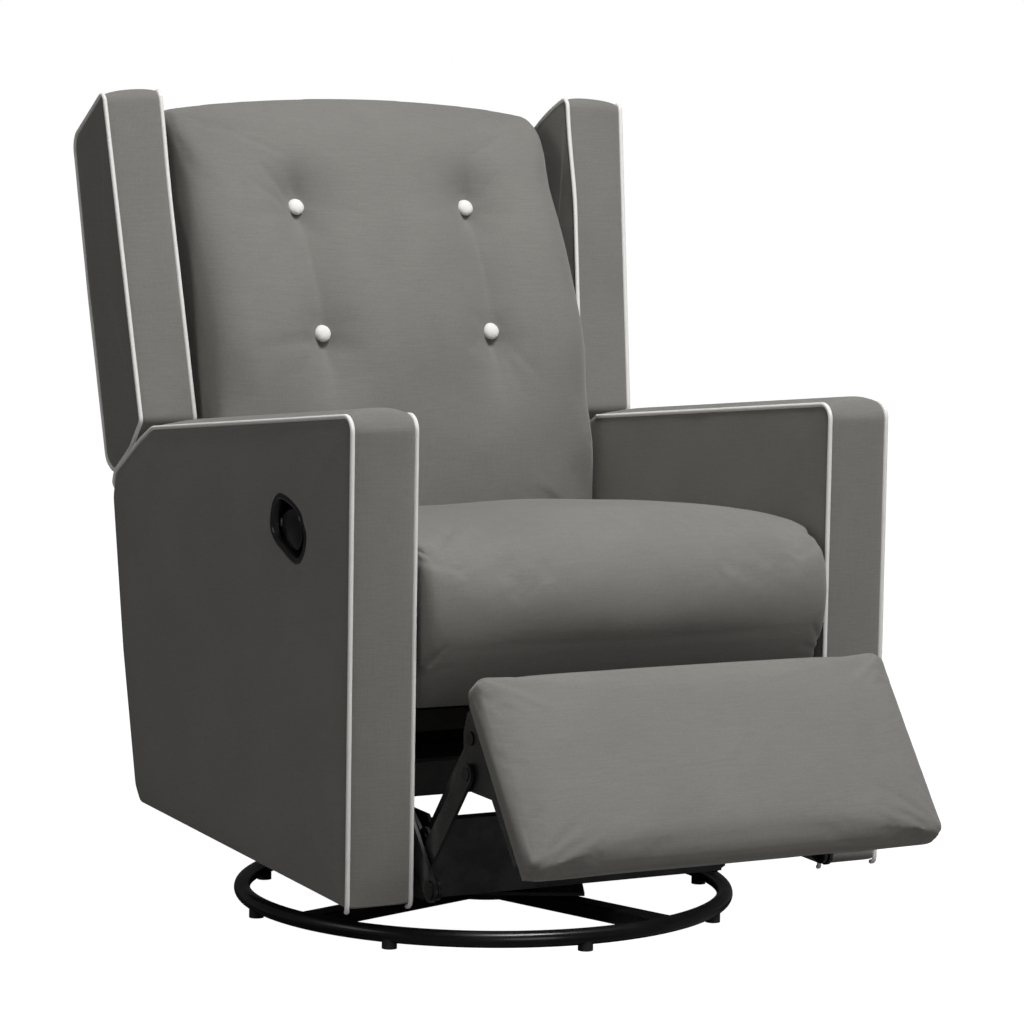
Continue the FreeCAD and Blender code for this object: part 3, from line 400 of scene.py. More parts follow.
def rounded(pts, radii, step=5.0):
    """Closed outline with arcs at its corners, resampled evenly. Clockwise in (y, z): outward is to the left."""
    n = len(pts)
    out = []
    for i in range(n):
        a, b, c = (np.array(pts[j % n], float) for j in (i - 1, i, i + 1))
        u, w = (a - b) / np.linalg.norm(a - b), (c - b) / np.linalg.norm(c - b)
        ang = math.acos(max(-1, min(1, float(u @ w))))
        r = radii[i]
        t = min(r / math.tan(ang / 2), 0.48 * np.linalg.norm(a - b), 0.48 * np.linalg.norm(c - b))
        r = t * math.tan(ang / 2)
        if r < 0.3:
            out.append(b)
            continue
        cen = b + (u + w) / np.linalg.norm(u + w) * (r / math.sin(ang / 2))
        p0, p1 = b + u * t, b + w * t
        v0, v1 = p0 - cen, p1 - cen
        th = math.acos(max(-1, min(1, float(v0 @ v1) / r / r)))
        sgn = 1.0 if v0[0] * v1[1] - v0[1] * v1[0] > 0 else -1.0
        k = max(2, int(th * r / 1.5))
        for j in range(k + 1):
            q = sgn * th * j / k
            out.append(cen + np.array([v0[0] * math.cos(q) - v0[1] * math.sin(q), v0[0] * math.sin(q) + v0[1] * math.cos(q)]))
    out = np.array(out)
    seg = np.linalg.norm(np.roll(out, -1, 0) - out, axis=1)
    s = np.concatenate([[0], np.cumsum(seg)])
    m = int(round(s[-1] / step))
    t = np.arange(m) * s[-1] / m
    loop = np.vstack([out, out[:1]])
    q = np.column_stack([np.interp(t, s, loop[:, k]) for k in (0, 1)])
    d = np.roll(q, -1, 0) - np.roll(q, 1, 0)
    d /= np.linalg.norm(d, axis=1)[:, None]
    nrm = np.column_stack([-d[:, 1], d[:, 0]])
    return q, nrm


def tube_mesh(path, r, sides=14, closed=False, flat=1.0):
    """Round cord along a dense path (mm)."""
    p = np.asarray(path, float)
    n = len(p)
    if closed:
        tan = np.roll(p, -1, 0) - np.roll(p, 1, 0)
    else:
        tan = np.gradient(p, axis=0)
    tan /= np.linalg.norm(tan, axis=1)[:, None]
    ref = np.array([1.0, 0, 0]) if abs(tan[0][0]) < 0.9 else np.array([0, 1.0, 0])
    u = np.cross(tan[0], ref)
    u /= np.linalg.norm(u)
    verts, faces = [], []
    for i in range(n):
        u = u - tan[i] * (u @ tan[i])
        u /= np.linalg.norm(u)
        w = np.cross(tan[i], u)
        rr = r if np.isscalar(r) else r[i]
        for k in range(sides):
            a = 2 * math.pi * k / sides
            verts.append(p[i] + rr * (math.cos(a) * u + math.sin(a) * w))
    m = n if closed else n - 1
    for i in range(m):
        for k in range(sides):
            a, b = i * sides + k, i * sides + (k + 1) % sides
            c, d = ((i + 1) % n) * sides + (k + 1) % sides, ((i + 1) % n) * sides + k
            faces.append((a, b, c, d))
    if not closed:
        for i, s in ((0, -1), (n - 1, 1)):
            c = len(verts)
            rr = r if np.isscalar(r) else r[i]
            # rounded end: one smaller ring, then a point
            for k in range(sides):
                verts.append(p[i] + s * tan[i] * rr * 0.5 + (np.array(verts[i * sides + k]) - p[i]) * 0.75)
            verts.append(p[i] + s * tan[i] * rr * 0.75)
            for k in range(sides):
                a, b = i * sides + k, i * sides + (k + 1) % sides
                faces.append((a, b, c + (k + 1) % sides, c + k) if s < 0 else (b, a, c + k, c + (k + 1) % sides))
                faces.append((c + k, c + (k + 1) % sides, c + sides))
    return np.array(verts), faces


def smooth_path(pts, step=4.0):
    """Even resampling of a polyline."""
    p = np.asarray(pts, float)
    seg = np.linalg.norm(np.diff(p, axis=0), axis=1)
    s = np.concatenate([[0], np.cumsum(seg)])
    m = max(3, int(round(s[-1] / step)) + 1)
    t = np.linspace(0, s[-1], m)
    return np.column_stack([np.interp(t, s, p[:, k]) for k in range(p.shape[1])])


def join_meshes(parts):
    vs, fs, off = [], [], 0
    for v, f in parts:
        vs.append(np.asarray(v, float))
        fs += [tuple(i + off for i in q) for q in f]
        off += len(v)
    return np.vstack(vs), fs


def flip_x(v):
    v = np.array(v, float)
    v[:, 0] *= -1
    return v


RINGS = np.array([1.0, 0.994, 0.984, 0.970, 0.952, 0.930, 0.905, 0.875, 0.84, 0.80, 0.75, 0.69, 0.62, 0.54, 0.45, 0.35, 0.24, 0.13, 0.05])


def boxed(q, nrm, xin, xout, centre, crown, puff_out, puff_in, cols=18, pinch=1.3, seed=1.0, wav=0.8):
    """Closed upholstered form: two panels on one outline, and a crowned band between their seams."""
    n = len(q)
    c = np.array(centre, float)
    h = np.maximum(((q - c) * nrm).sum(1), 20.0)
    rings = []

    def panel(x_of, sgn, puff, order):
        for r in order:
            p = c + (q - c) * r
            d = (1 - r) * h
            x = np.array([x_of(a, b) for a, b in p])
            out = puff * (1 - np.exp(-d / 26.0)) - pinch * np.exp(-d / 2.5)
            p2 = p - nrm * (pinch * math.exp(-((1 - r) * 260) / 2.5))
            rings.append(np.column_stack([x + sgn * out, p2]))

    panel(xout, 1.0, puff_out, RINGS[::-1])
    for j in range(1, cols):
        t = j / cols
        e = 1 - abs(2 * t - 1) ** 2.4
        k = 1 - math.exp(-min(t, 1 - t) * cols * 1.2)
        xo = np.array([xout(a, b) for a, b in q])
        xi = np.array([xin(a, b) for a, b in q])
        x = xo + (xi - xo) * t
        rings.append(np.column_stack([x, q + nrm * (crown * e - pinch * (1 - k))[:, None]]))
    panel(xin, -1.0, puff_in, RINGS)
    v = np.vstack(rings)
    m = len(rings)
    faces = []
    for k in range(m - 1):
        for i in range(n):
            j = (i + 1) % n
            faces.append((k * n + i, k * n + j, (k + 1) * n + j, (k + 1) * n + i))
    a, b = len(v), len(v) + 1
    v = np.vstack([v, v[:n].mean(0), v[-n:].mean(0)])
    for i in range(n):
        j = (i + 1) % n
        faces.append((a, j, i))
        faces.append((b, (m - 1) * n + i, (m - 1) * n + j))
    if wav:
        w = wobble(v, 95.0, seed) * wav
        # waviness across the panel, not along the seams
        side = np.zeros(len(v))
        for k in range(m):
            r = RINGS[::-1][k] if k < len(RINGS) else (0.9 if k < m - len(RINGS) else RINGS[k - (m - len(RINGS))])
            side[k * n:(k + 1) * n] = 1 - smoothstep(0.95, 1.0, r)
        side[-2:] = 1.0
        sg = np.where(np.arange(len(v)) < (m * n) / 2, 1.0, -1.0)
        on_panel = np.ones(len(v), bool)
        on_panel[len(RINGS) * n:(m - len(RINGS)) * n] = False
        v[:, 0] += np.where(on_panel, w * side * sg, 0.0)
    return v, faces


# ------------------------------------------------------------------ cloth
def remesh(ob, voxel):
    md = ob.modifiers.new("remesh", "REMESH")
    md.mode = "VOXEL"
    md.voxel_size = voxel
    md.use_smooth_shade = True
    bake(ob)


def bake(ob):
    dg = bpy.context.evaluated_depsgraph_get()
    dg.update()
    me = bpy.data.meshes.new_from_object(ob.evaluated_get(dg), preserve_all_data_layers=True, depsgraph=dg)
    mats = [s.material for s in ob.material_slots]
    old = ob.data
    ob.modifiers.clear()
    ob.data = me
    me.materials.clear()
    for m in mats:
        me.materials.append(m)
    me.polygons.foreach_set("use_smooth", [True] * len(me.polygons))
    bpy.data.meshes.remove(old)


def subdivide(ob, levels=1):
    md = ob.modifiers.new("sub", "SUBSURF")
    md.levels = md.render_levels = levels
    md.boundary_smooth = "PRESERVE_CORNERS"
    bake(ob)


def inflate(ob, pins=None, pressure=4.0, frames=20, cap=24.0, hold=None, tension=15.0, bend=0.4):
    """Blows the form up as cloth, caps how far a point may move (mm), and keeps the result."""
    rest = get_co(ob)
    if pins is not None:
        g = ob.vertex_groups.new(name="pins")
        w = pins(rest)
        for i in np.nonzero(w > 0.01)[0]:
            g.add([int(i)], float(w[i]), "REPLACE")
    md = ob.modifiers.new("cloth", "CLOTH")
    s = md.settings
    s.quality = 4
    s.mass = 0.35
    s.tension_stiffness = s.compression_stiffness = tension
    s.shear_stiffness = tension * 0.4
    s.bending_stiffness = bend
    s.tension_damping = s.compression_damping = 8.0
    s.air_damping = 2.0
    s.use_pressure = True
    s.uniform_pressure_force = pressure
    s.effector_weights.gravity = 0.0
    if pins is not None:
        s.vertex_group_mass = "pins"
        s.pin_stiffness = 5.0
    md.collision_settings.use_collision = False
    md.collision_settings.use_self_collision = False
    md.point_cache.frame_start = 1
    md.point_cache.frame_end = frames
    sc = bpy.context.scene
    for f in range(1, frames + 1):
        sc.frame_set(f)
    dg = bpy.context.evaluated_depsgraph_get()
    ev = ob.evaluated_get(dg)
    a = np.empty(len(ev.data.vertices) * 3)
    ev.data.vertices.foreach_get("co", a)
    new = a.reshape(-1, 3) * 1000.0
    new[:, 1] -= SHIFT_Y
    ob.modifiers.clear()
    sc.frame_set(1)
    d = new - rest
    ln = np.linalg.norm(d, axis=1)
    k = np.where(ln > 1e-9, cap * np.tanh(ln / cap) / np.maximum(ln, 1e-9), 1.0)
    if hold is not None:
        k *= hold(rest)
    put_co(ob, rest + d * k[:, None])
    if pins is not None:
        ob.vertex_groups.clear()


# ------------------------------------------------------------------ arms
ARM_IN, ARM_OUT = 273.0, 353.0
ARM_PTS = [(-290, 84), (-290, 636.0), (272, 579), (310, 561), (348, 539), (391, 514), (400, 483), (365, 290), (323, 124), (307, 105)]
ARM_RAD = [4, 17, 40, 60, 60, 16, 30, 60, 20, 12]
ARM_Q, ARM_N = rounded(ARM_PTS, ARM_RAD, 6.0)
CUP_RIM = np.array([(19.5, 39.0), (-4.0, 34.8), (-27.5, 26.0), (-41.0, 15.5), (-48.0, 2.5), (-49.6, -9.5), (-44.5, -25.0), (-33.0, -37.0),
                    (-19.0, -40.5), (-4.0, -37.0), (13.5, -30.0), (31.5, -22.5), (44.5, -13.0), (49.8, -1.0), (48.5, 13.5), (43.5, 26.0), (33.0, 36.0)])
CUP_Y, CUP_Z = -132.0, 496.0


def closed_curve(pts, step=2.0):
    """Closed Catmull-Rom through the points."""
    p = np.asarray(pts, float)
    n = len(p)
    out = []
    for i in range(n):
        a, b, c, d = p[i - 1], p[i], p[(i + 1) % n], p[(i + 2) % n]
        k = max(2, int(np.linalg.norm(c - b) / step))
        for j in range(k):
            t = j / k
            out.append(0.5 * ((2 * b) + (-a + c) * t + (2 * a - 5 * b + 4 * c - d) * t * t + (-a + 3 * b - 3 * c + d) * t ** 3))
    return np.array(out)


def arm_crown(q, nrm):
    """How far the band stands proud of its two seams, round the outline."""
    top = smoothstep(0.55, 0.95, nrm[:, 1]) * smoothstep(330, 200, q[:, 0])
    front = smoothstep(0.8, 0.98, -nrm[:, 0])
    rear = smoothstep(0.5, 0.9, nrm[:, 0])
    bot = smoothstep(0.6, 0.95, -nrm[:, 1])
    foot = smoothstep(84, 120, q[:, 1])
    c = 3.0 + 5.5 * top + 2.2 * front * foot + 0.5 * rear
    return c * (1 - bot)


def make_arm(side):
    s = 1.0 if side == "left" else -1.0
    crown = arm_crown(ARM_Q, ARM_N)
    seed = 3.1 if side == "left" else 11.7
    v, f = boxed(ARM_Q, ARM_N, lambda y, z: ARM_IN, lambda y, z: ARM_OUT, (40, 340), crown, 2.6, 2.0, seed=seed)
    v[:, 0] *= s
    ob = mesh_object("arm_upholstery_" + side, v, f, M_FABRIC)
    if side == "right":
        # the pocket that the handle cup drops into
        rim = closed_curve(CUP_RIM * 0.93)
        m = len(rim)
        cv = [(x, CUP_Y + a, CUP_Z + b) for x in (-362.0, -327.0) for a, b in rim]
        cf = [(i, (i + 1) % m, m + (i + 1) % m, m + i) for i in range(m)] + [tuple(range(m)), tuple(range(2 * m - 1, m - 1, -1))]
        cut = mesh_object("cutter", cv, cf, M_LINING)
        md = ob.modifiers.new("pocket", "BOOLEAN")
        md.operation = "DIFFERENCE"
        md.solver = "EXACT"
        md.object = cut
        bake(ob)
        bpy.data.objects.remove(cut)
        ob.data.set_sharp_from_angle(angle=math.radians(40))
    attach(ob, "chair")
    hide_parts("arm_cover_" + side)
    return ob


def outline_run(q, nrm, start, end, inset=0.0):
    """Indices of the outline from the sample nearest start, forward to the one nearest end."""
    i = int(np.argmin(((q - start) ** 2).sum(1)))
    j = int(np.argmin(((q - end) ** 2).sum(1)))
    n = len(q)
    idx = [k % n for k in range(i, (j if j > i else j + n) + 1)]
    return q[idx] - nrm[idx] * inset


def finish_cord(parts, name, body, node):
    v, f = join_meshes(parts)
    ob = mesh_object(name, v, f, M_WELT)
    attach(ob, body)
    if node:
        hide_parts(node)
    return ob


WELT = 2.75


def cord_radius(n, seed):
    """Hand-sewn cord: its thickness wanders a little."""
    return np.array([WELT * (1 + 0.045 * noise.noise(Vector((i * 0.09, seed, 0.3)))) for i in range(n)])


def make_arm_welts():
    parts = []
    for s in (1, -1):
        fine_q, fine_n = rounded(ARM_PTS, ARM_RAD, 3.0)
        # outer seam: from low on the rear edge, over the chamfer and the top, down the front to the hem
        run = outline_run(fine_q, fine_n, (-290, 86), (395.5, 501), 0.4)
        x = np.full(len(run), ARM_OUT - 0.3)
        end = np.array([[ARM_OUT - 0.5, -289.0, 82.0], [ARM_OUT - 2.0, -284.0, 80.6]])
        tuck = np.array([[ARM_OUT - 3.5, 394.0, 492.0], [ARM_OUT - 8.0, 391.0, 486.0]])
        p = np.column_stack([x, run])
        p = smooth_path(np.vstack([end[::-1], p, tuck]), 3.5)
        parts.append(tube_mesh(np.column_stack([p[:, 0] * s, p[:, 1:]]), cord_radius(len(p), 1.0 + s)))
        # inner seam: front hem, up the front, back along the top to the wing
        run = outline_run(fine_q, fine_n, (-290, 86), (262, 580), 0.4)
        end = np.array([[ARM_IN + 1.2, -289.0, 82.0], [ARM_IN + 2.4, -284.0, 80.6]])
        p = np.column_stack([np.full(len(run), ARM_IN + 0.6), run])
        p = smooth_path(np.vstack([end[::-1], p]), 3.5)
        parts.append(tube_mesh(np.column_stack([p[:, 0] * s, p[:, 1:]]), cord_radius(len(p), 5.0 + s)))
    return finish_cord(parts, "arm_welts", "chair", "arm_piping")


make_arm("left")
make_arm("right")
make_arm_welts()


# ------------------------------------------------------------------ handle
LEVER_RIM = np.array([(-101.0, 506.0), (-108.0, 510.5), (-118.0, 515.5), (-129.0, 517.5), (-140.0, 515.0), (-149.0, 507.5), (-153.0, 497.5),
                      (-154.0, 489.0), (-151.5, 479.5), (-146.5, 472.5), (-139.5, 470.5), (-130.0, 472.0), (-117.0, 477.5), (-109.0, 484.0),
                      (-102.0, 491.0), (-100.0, 498.0)])


def out_normals(rim):
    d = np.roll(rim, -1, 0) - np.roll(rim, 1, 0)
    d /= np.linalg.norm(d, axis=1)[:, None]
    n = np.column_stack([-d[:, 1], d[:, 0]])
    return n if ((rim - rim.mean(0)) * n).sum() > 0 else -n


def ring_solid(rim, prof, centre_a, centre_b, c=None):
    """Rings of the outline, each pushed out by prof's offset at prof's x, with a point closing either end."""
    n = out_normals(rim)
    c = rim.mean(0) if c is None else np.asarray(c, float)
    rings = []
    for x, off, k in prof:
        q = c + (rim + n * off - c) * k
        rings.append(np.column_stack([np.full(len(q), x), q]))
    v = np.vstack(rings + [np.array([[centre_a, *c], [centre_b, *c]])])
    m, r = len(rim), len(rings)
    f = []
    for j in range(r - 1):
        for i in range(m):
            h = (i + 1) % m
            f.append((j * m + i, j * m + h, (j + 1) * m + h, (j + 1) * m + i))
    for i in range(m):
        h = (i + 1) % m
        f.append((r * m, h, i))
        f.append((r * m + 1, (r - 1) * m + i, (r - 1) * m + h))
    return v, f


def pillow_plate(rim, x0, x1, r, dome):
    """A moulded plate from x0 out to x1, its edge rolled over at radius r and its face domed."""
    g = -1.0 if x1 < x0 else 1.0
    prof = [(x0, 0.0, 0.30), (x0, 0.0, 0.75), (x0, 0.0, 0.985), (x0 + g * 0.5, 0.0, 1.0)]
    prof += [(x1 - g * r * (1 - math.sin(t)), -r * (1 - math.cos(t)), 1.0) for t in np.linspace(0.0, math.pi / 2, 7)]
    prof += [(x1 + g * dome * (1 - k * k), -r, k) for k in (0.95, 0.86, 0.74, 0.6, 0.44, 0.28, 0.12)]
    return ring_solid(rim, prof, x0, x1 + g * dome)


def make_handle():
    rim = closed_curve(CUP_RIM, 1.6) + np.array([CUP_Y, CUP_Z])
    # moulded bowl: rolled flange, wall, floor, and its own back
    prof = [(-333.0, -24.0, 0.4), (-333.0, -16.0, 0.98), (-333.6, -12.4, 1.0), (-336.0, -11.0, 1.0), (-345.0, -9.8, 1.0), (-352.5, -9.0, 1.0),
            (-354.6, -8.6, 1.0), (-355.9, -7.7, 1.0), (-356.7, -6.4, 1.0), (-357.0, -4.8, 1.0), (-356.9, -3.2, 1.0), (-356.4, -1.7, 1.0),
            (-355.5, -0.7, 1.0), (-354.4, -0.15, 1.0), (-353.3, 0.0, 1.0), (-353.0, -0.6, 1.0), (-352.6, -5.0, 1.0), (-350.0, -6.8, 1.0),
            (-340.0, -7.6, 1.0), (-331.6, -9.5, 1.0), (-330.4, -12.0, 1.0), (-330.2, -18.0, 0.9), (-330.2, -24.0, 0.4)]
    bowl = ring_solid(rim, prof, -333.0, -330.2)
    # fixed cheek over the hinge, filling the rear of the bowl
    inner = rim + out_normals(rim) * -8.2
    keep = inner[inner[:, 0] > -107.5]
    start = int(np.argmax(np.linalg.norm(keep - np.roll(keep, 1, 0), axis=1)))
    keep = np.roll(keep, -start, 0)
    a, b = keep[-1], keep[0]
    t = np.linspace(0.0, 1.0, 26)[1:-1]
    edge = a[None, :] + (b - a)[None, :] * t[:, None]
    edge[:, 0] += 6.0 * np.sin(math.pi * t) ** 0.8
    cheek = pillow_plate(smooth_path(np.vstack([keep, edge, keep[:1]]), 1.6)[:-1], -352.7, -355.4, 1.2, 0.5)
    v, f = join_meshes([bowl, cheek])
    ob = mesh_object("handle_bowl", v, f, M_PLASTIC)
    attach(ob, "chair")
    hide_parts("handle_cup")
    v, f = pillow_plate(closed_curve(LEVER_RIM, 1.6), -345.2, -350.2, 1.9, 1.3)
    # finger hollow pressed into the pull edge
    w = np.exp(-((v[:, 1] + 156.0) / 9.0) ** 2) * np.exp(-((v[:, 2] - 494.0) / 17.0) ** 2)
    v[:, 0] += np.where(v[:, 0] < -347.0, 1.5 * w, 0.0)
    ob = mesh_object("handle_tongue", v, f, M_PLASTIC)
    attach(ob, "lever")
    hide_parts("handle_lever")


make_handle()


# ------------------------------------------------------------------ wings
WING_PTS = [(313, 584), (353, 801), (388, 992), (494, 932), (465, 727), (430, 525), (407, 512), (350, 547)]
WING_RAD = [10, 200, 9, 26, 200, 20, 16, 40]
WING_T = 74.0


def wing_x(z):
    return 351.0 + 21.5 * (z - 585.0) / 409.0


WING_Q, WING_N = rounded(WING_PTS, WING_RAD, 5.0)


def wing_ease(v):
    """The inner panel stands a little prouder at the top: its edge falls away more slowly and leans in."""
    v = v.copy()
    t = np.clip((wing_x(v[:, 2]) - np.abs(v[:, 0])) / WING_T, 0.0, 1.0)
    top = smoothstep(900, 985, v[:, 2])
    v[:, 0] -= np.where(v[:, 0] > 0, 8.0, -2.0) * t * smoothstep(840, 985, v[:, 2])
    v[:, 2] += t * top * (5.0 + 0.17 * np.clip(v[:, 1] - 388.0, 0.0, 90.0))
    return v


def make_wing(side):
    s = 1.0 if side == "left" else -1.0
    front = smoothstep(0.6, 0.95, -WING_N[:, 0])
    top = smoothstep(0.5, 0.85, WING_N[:, 1])
    crown = 1.6 + 2.6 * front + 2.6 * top
    v, f = boxed(WING_Q, WING_N, lambda y, z: wing_x(z) - WING_T, lambda y, z: wing_x(z), (408, 755), crown, 2.2, 3.0,
                 seed=21.3 if side == "left" else 27.9, wav=0.6)
    v[:, 0] *= s
    v = wing_ease(v)
    ob = mesh_object("wing_upholstery_" + side, v, f, M_FABRIC)
    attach(ob, "back")
    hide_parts("wing_" + side)


def make_wing_welts():
    q, n = rounded(WING_PTS, WING_RAD, 2.5)
    parts = []
    for s in (1, -1):
        p = q - n * 0.4
        o = np.column_stack([[wing_x(z) - 0.4 for z in p[:, 1]], p])
        o[:, 0] *= s
        o = wing_ease(o)
        parts.append(tube_mesh(o, cord_radius(len(o), 9.0 + s), closed=True))
        run = outline_run(q, n, (324, 575), (486, 937), 0.4)
        i = np.column_stack([[wing_x(z) - WING_T + 0.5 for z in run[:, 1]], run])
        i = smooth_path(i, 3.0)
        i[:, 0] *= s
        i = wing_ease(i)
        parts.append(tube_mesh(i, cord_radius(len(i), 14.0 + s)))
    return finish_cord(parts, "wing_welts", "back", "wing_piping")


make_wing("left")
make_wing("right")
make_wing_welts()


# ------------------------------------------------------------------ lofted cushions
def spline(pts, step=8.0):
    """Open Catmull-Rom through the points, resampled evenly."""
    p = np.asarray(pts, float)
    p = np.vstack([2 * p[0] - p[1], p, 2 * p[-1] - p[-2]])
    out = []
    for i in range(1, len(p) - 2):
        a, b, c, d = p[i - 1], p[i], p[i + 1], p[i + 2]
        k = max(2, int(np.linalg.norm(c - b) / 3))
        for j in range(k):
            t = j / k
            out.append(0.5 * ((2 * b) + (-a + c) * t + (2 * a - 5 * b + 4 * c - d) * t * t + (-a + 3 * b - 3 * c + d) * t ** 3))
    out.append(p[-2])
    return smooth_path(np.array(out), step)


def edge_drop(x, a, r):
    """Quarter-round fall at |x| near a."""
    d = np.clip(np.abs(x) - (a - r), 0, r)
    return r - np.sqrt(np.maximum(r * r - d * d, 0))


def loft(front, rear_of, a_of, crown_of, r_edge, nx=60):
    """Closed cushion: a face swept along the profile, joined straight back to its rear surface.
    front: (y, z) profile; rear_of(y, z): the matching rear point; a_of(z): half width."""
    prof = np.asarray(front, float)
    m = len(prof)
    t = np.gradient(prof, axis=0)
    t /= np.linalg.norm(t, axis=1)[:, None]
    nrm = np.column_stack([-t[:, 1], t[:, 0]])      # outward, for a profile that runs with the outside on its left
    # x stations, packed towards the edges
    u = np.sin(np.linspace(-math.pi / 2, math.pi / 2, nx + 1))
    u = np.sign(u) * (0.35 * np.abs(u) + 0.65 * (1 - (1 - np.abs(np.linspace(-1, 1, nx + 1))) ** 1.0))
    vf, vr = [], []
    for j in range(m):
        a = a_of(*prof[j])
        r = r_edge(*prof[j]) if callable(r_edge) else r_edge
        for k in range(nx + 1):
            x = u[k] * a
            e = crown_of(u[k], *prof[j]) - float(edge_drop(x, a, r))
            vf.append((x, prof[j][0] + nrm[j][0] * e, prof[j][1] + nrm[j][1] * e))
            ry, rz = rear_of(*prof[j])
            vr.append((x, ry, rz))
    v = np.array(vf + vr)
    o = len(vf)
    w = nx + 1
    f = []
    for j in range(m - 1):
        for k in range(nx):
            f.append((j * w + k, j * w + k + 1, (j + 1) * w + k + 1, (j + 1) * w + k))
            f.append((o + j * w + k, o + (j + 1) * w + k, o + (j + 1) * w + k + 1, o + j * w + k + 1))
    for j in range(m - 1):
        f.append((j * w, (j + 1) * w, o + (j + 1) * w, o + j * w))
        f.append((j * w + nx, o + j * w + nx, o + (j + 1) * w + nx, (j + 1) * w + nx))
    for k in range(nx):
        f.append((k, o + k, o + k + 1, k + 1))
        b = (m - 1) * w
        f.append((b + k, b + k + 1, o + b + k + 1, o + b + k))
    return v, f


def yr(z):
    return 384.0 + 0.187 * (z - 525.0)


# ------------------------------------------------------------------ back cushion
BUTTONS = [(-122.0, 358.0, 849.0), (122.0, 358.0, 849.0), (-120.0, 279.0, 691.0), (120.0, 279.0, 691.0)]
BACK_PROF = [(258, 404), (247, 430), (245, 480), (243, 560), (250, 640), (262, 700), (290, 765), (338, 852), (384, 922), (414, 954), (438, 969), (456, 972)]


def channel_x(z, s):
    """The pulled line that runs down through an upper and a lower button."""
    return s * (120.0 + 2.0 * (np.asarray(z) - 691.0) / 158.0)


def groove(px, pz, a, b, width, depth):
    """Depth of a short pulled crease from a to b, in the plane of the face."""
    a, b = np.array(a, float), np.array(b, float)
    ab = b - a
    t = np.clip(((px - a[0]) * ab[0] + (pz - a[1]) * ab[1]) / (ab @ ab), 0.0, 1.0)
    d = np.hypot(px - a[0] - t * ab[0], pz - a[1] - t * ab[1])
    return depth * np.exp(-(d / width) ** 2) * (0.35 + 0.65 * (1 - t))


CREASES = [((-137, 868), (-168, 902), 5.0, 1.5), ((-146, 858), (-186, 880), 5.0, 1.2), ((-150, 846), (-212, 838), 8.0, 1.3),
           ((-148, 690), (-214, 676), 8.0, 1.5), ((-140, 672), (-176, 640), 6.0, 0.9), ((134, 668), (150, 612), 5.0, 1.5),
           ((144, 674), (178, 628), 5.0, 1.3), ((146, 846), (196, 838), 8.0, 0.9), ((140, 866), (164, 892), 5.0, 0.8)]


def tuft(v, nrm, deep=1.0):
    """Pulls the face in at the buttons and along the lines through them."""
    out = v.copy()
    facing = smoothstep(0.15, 0.5, -nrm[:, 1] + 0.35 * nrm[:, 2])
    x, y, z = v.T
    axis = np.array([0.0, -0.86, 0.5])
    depth = np.zeros(len(v))
    for s in (-1, 1):
        dx = x - channel_x(z, s)
        fade = smoothstep(575, 690, z) * (1 - smoothstep(865, 925, z))
        line = 0.66 * np.exp(-(dx / 36.0) ** 2) + 0.34 * np.exp(-np.abs(dx) / 11.0)
        depth += 15.0 * fade * line
    for bx, by, bz in BUTTONS:
        d = np.sqrt((x - bx) ** 2 + ((z - bz) * 1.12) ** 2)
        depth += 9.0 * np.exp(-(d / 24.0) ** 1.25)
        ang = np.arctan2(z - bz, x - bx)
        depth += 0.35 * np.cos(5 * ang + bx * 0.05 + bz * 0.021) * np.exp(-((d - 24.0) / 18.0) ** 2)
    for a, b, width, dep in CREASES:
        depth += groove(x, z, a, b, width, dep)
    out += -axis[None, :] * (depth * facing * deep)[:, None]
    return out


def make_back():
    prof = spline(BACK_PROF, 9.0)

    def crown(u, y, z):
        top = smoothstep(860, 965, z)
        return 13.0 * (1 - u * u) * (1 + 0.35 * top) - 3.0 * smoothstep(0.74, 1.0, abs(u))

    v, f = loft(prof, lambda y, z: (yr(z) - 1.0, z), lambda y, z: 268.0, crown,
                lambda y, z: 14.0 + 30.0 * smoothstep(520, 625, z) - 31.0 * smoothstep(880, 962, z))
    ob = mesh_object("back_cushion_soft", v, f, M_FABRIC)
    remesh(ob, 0.0052)
    co = get_co(ob)
    put_co(ob, tuft(co, get_no(ob), 0.8))

    def pins(p):
        w = np.zeros(len(p))
        for bx, by, bz in BUTTONS:
            d = np.sqrt((p[:, 0] - bx) ** 2 + (p[:, 2] - bz) ** 2)
            w = np.maximum(w, np.where((d < 11) & (p[:, 1] < yr(bz) - 40), 1.0, 0.0))
        w = np.maximum(w, np.where(np.abs(p[:, 0]) > 265.5, 1.0, 0.0))
        return np.maximum(w, np.where(p[:, 1] > yr(p[:, 2]) - 8.0, 1.0, 0.0))

    inflate(ob, pins, pressure=2.0, cap=9.0)
    co = get_co(ob)
    put_co(ob, tuft(co, get_no(ob), 0.72))
    subdivide(ob)
    co = get_co(ob)
    co += get_no(ob) * (wobble(co, 85.0, 5.0) * 0.9 * smoothstep(0.0, 0.5, -get_no(ob)[:, 1]))[:, None]
    put_co(ob, co)
    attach(ob, "back")
    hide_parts("back_cushion")
    return ob


BACK = make_back()


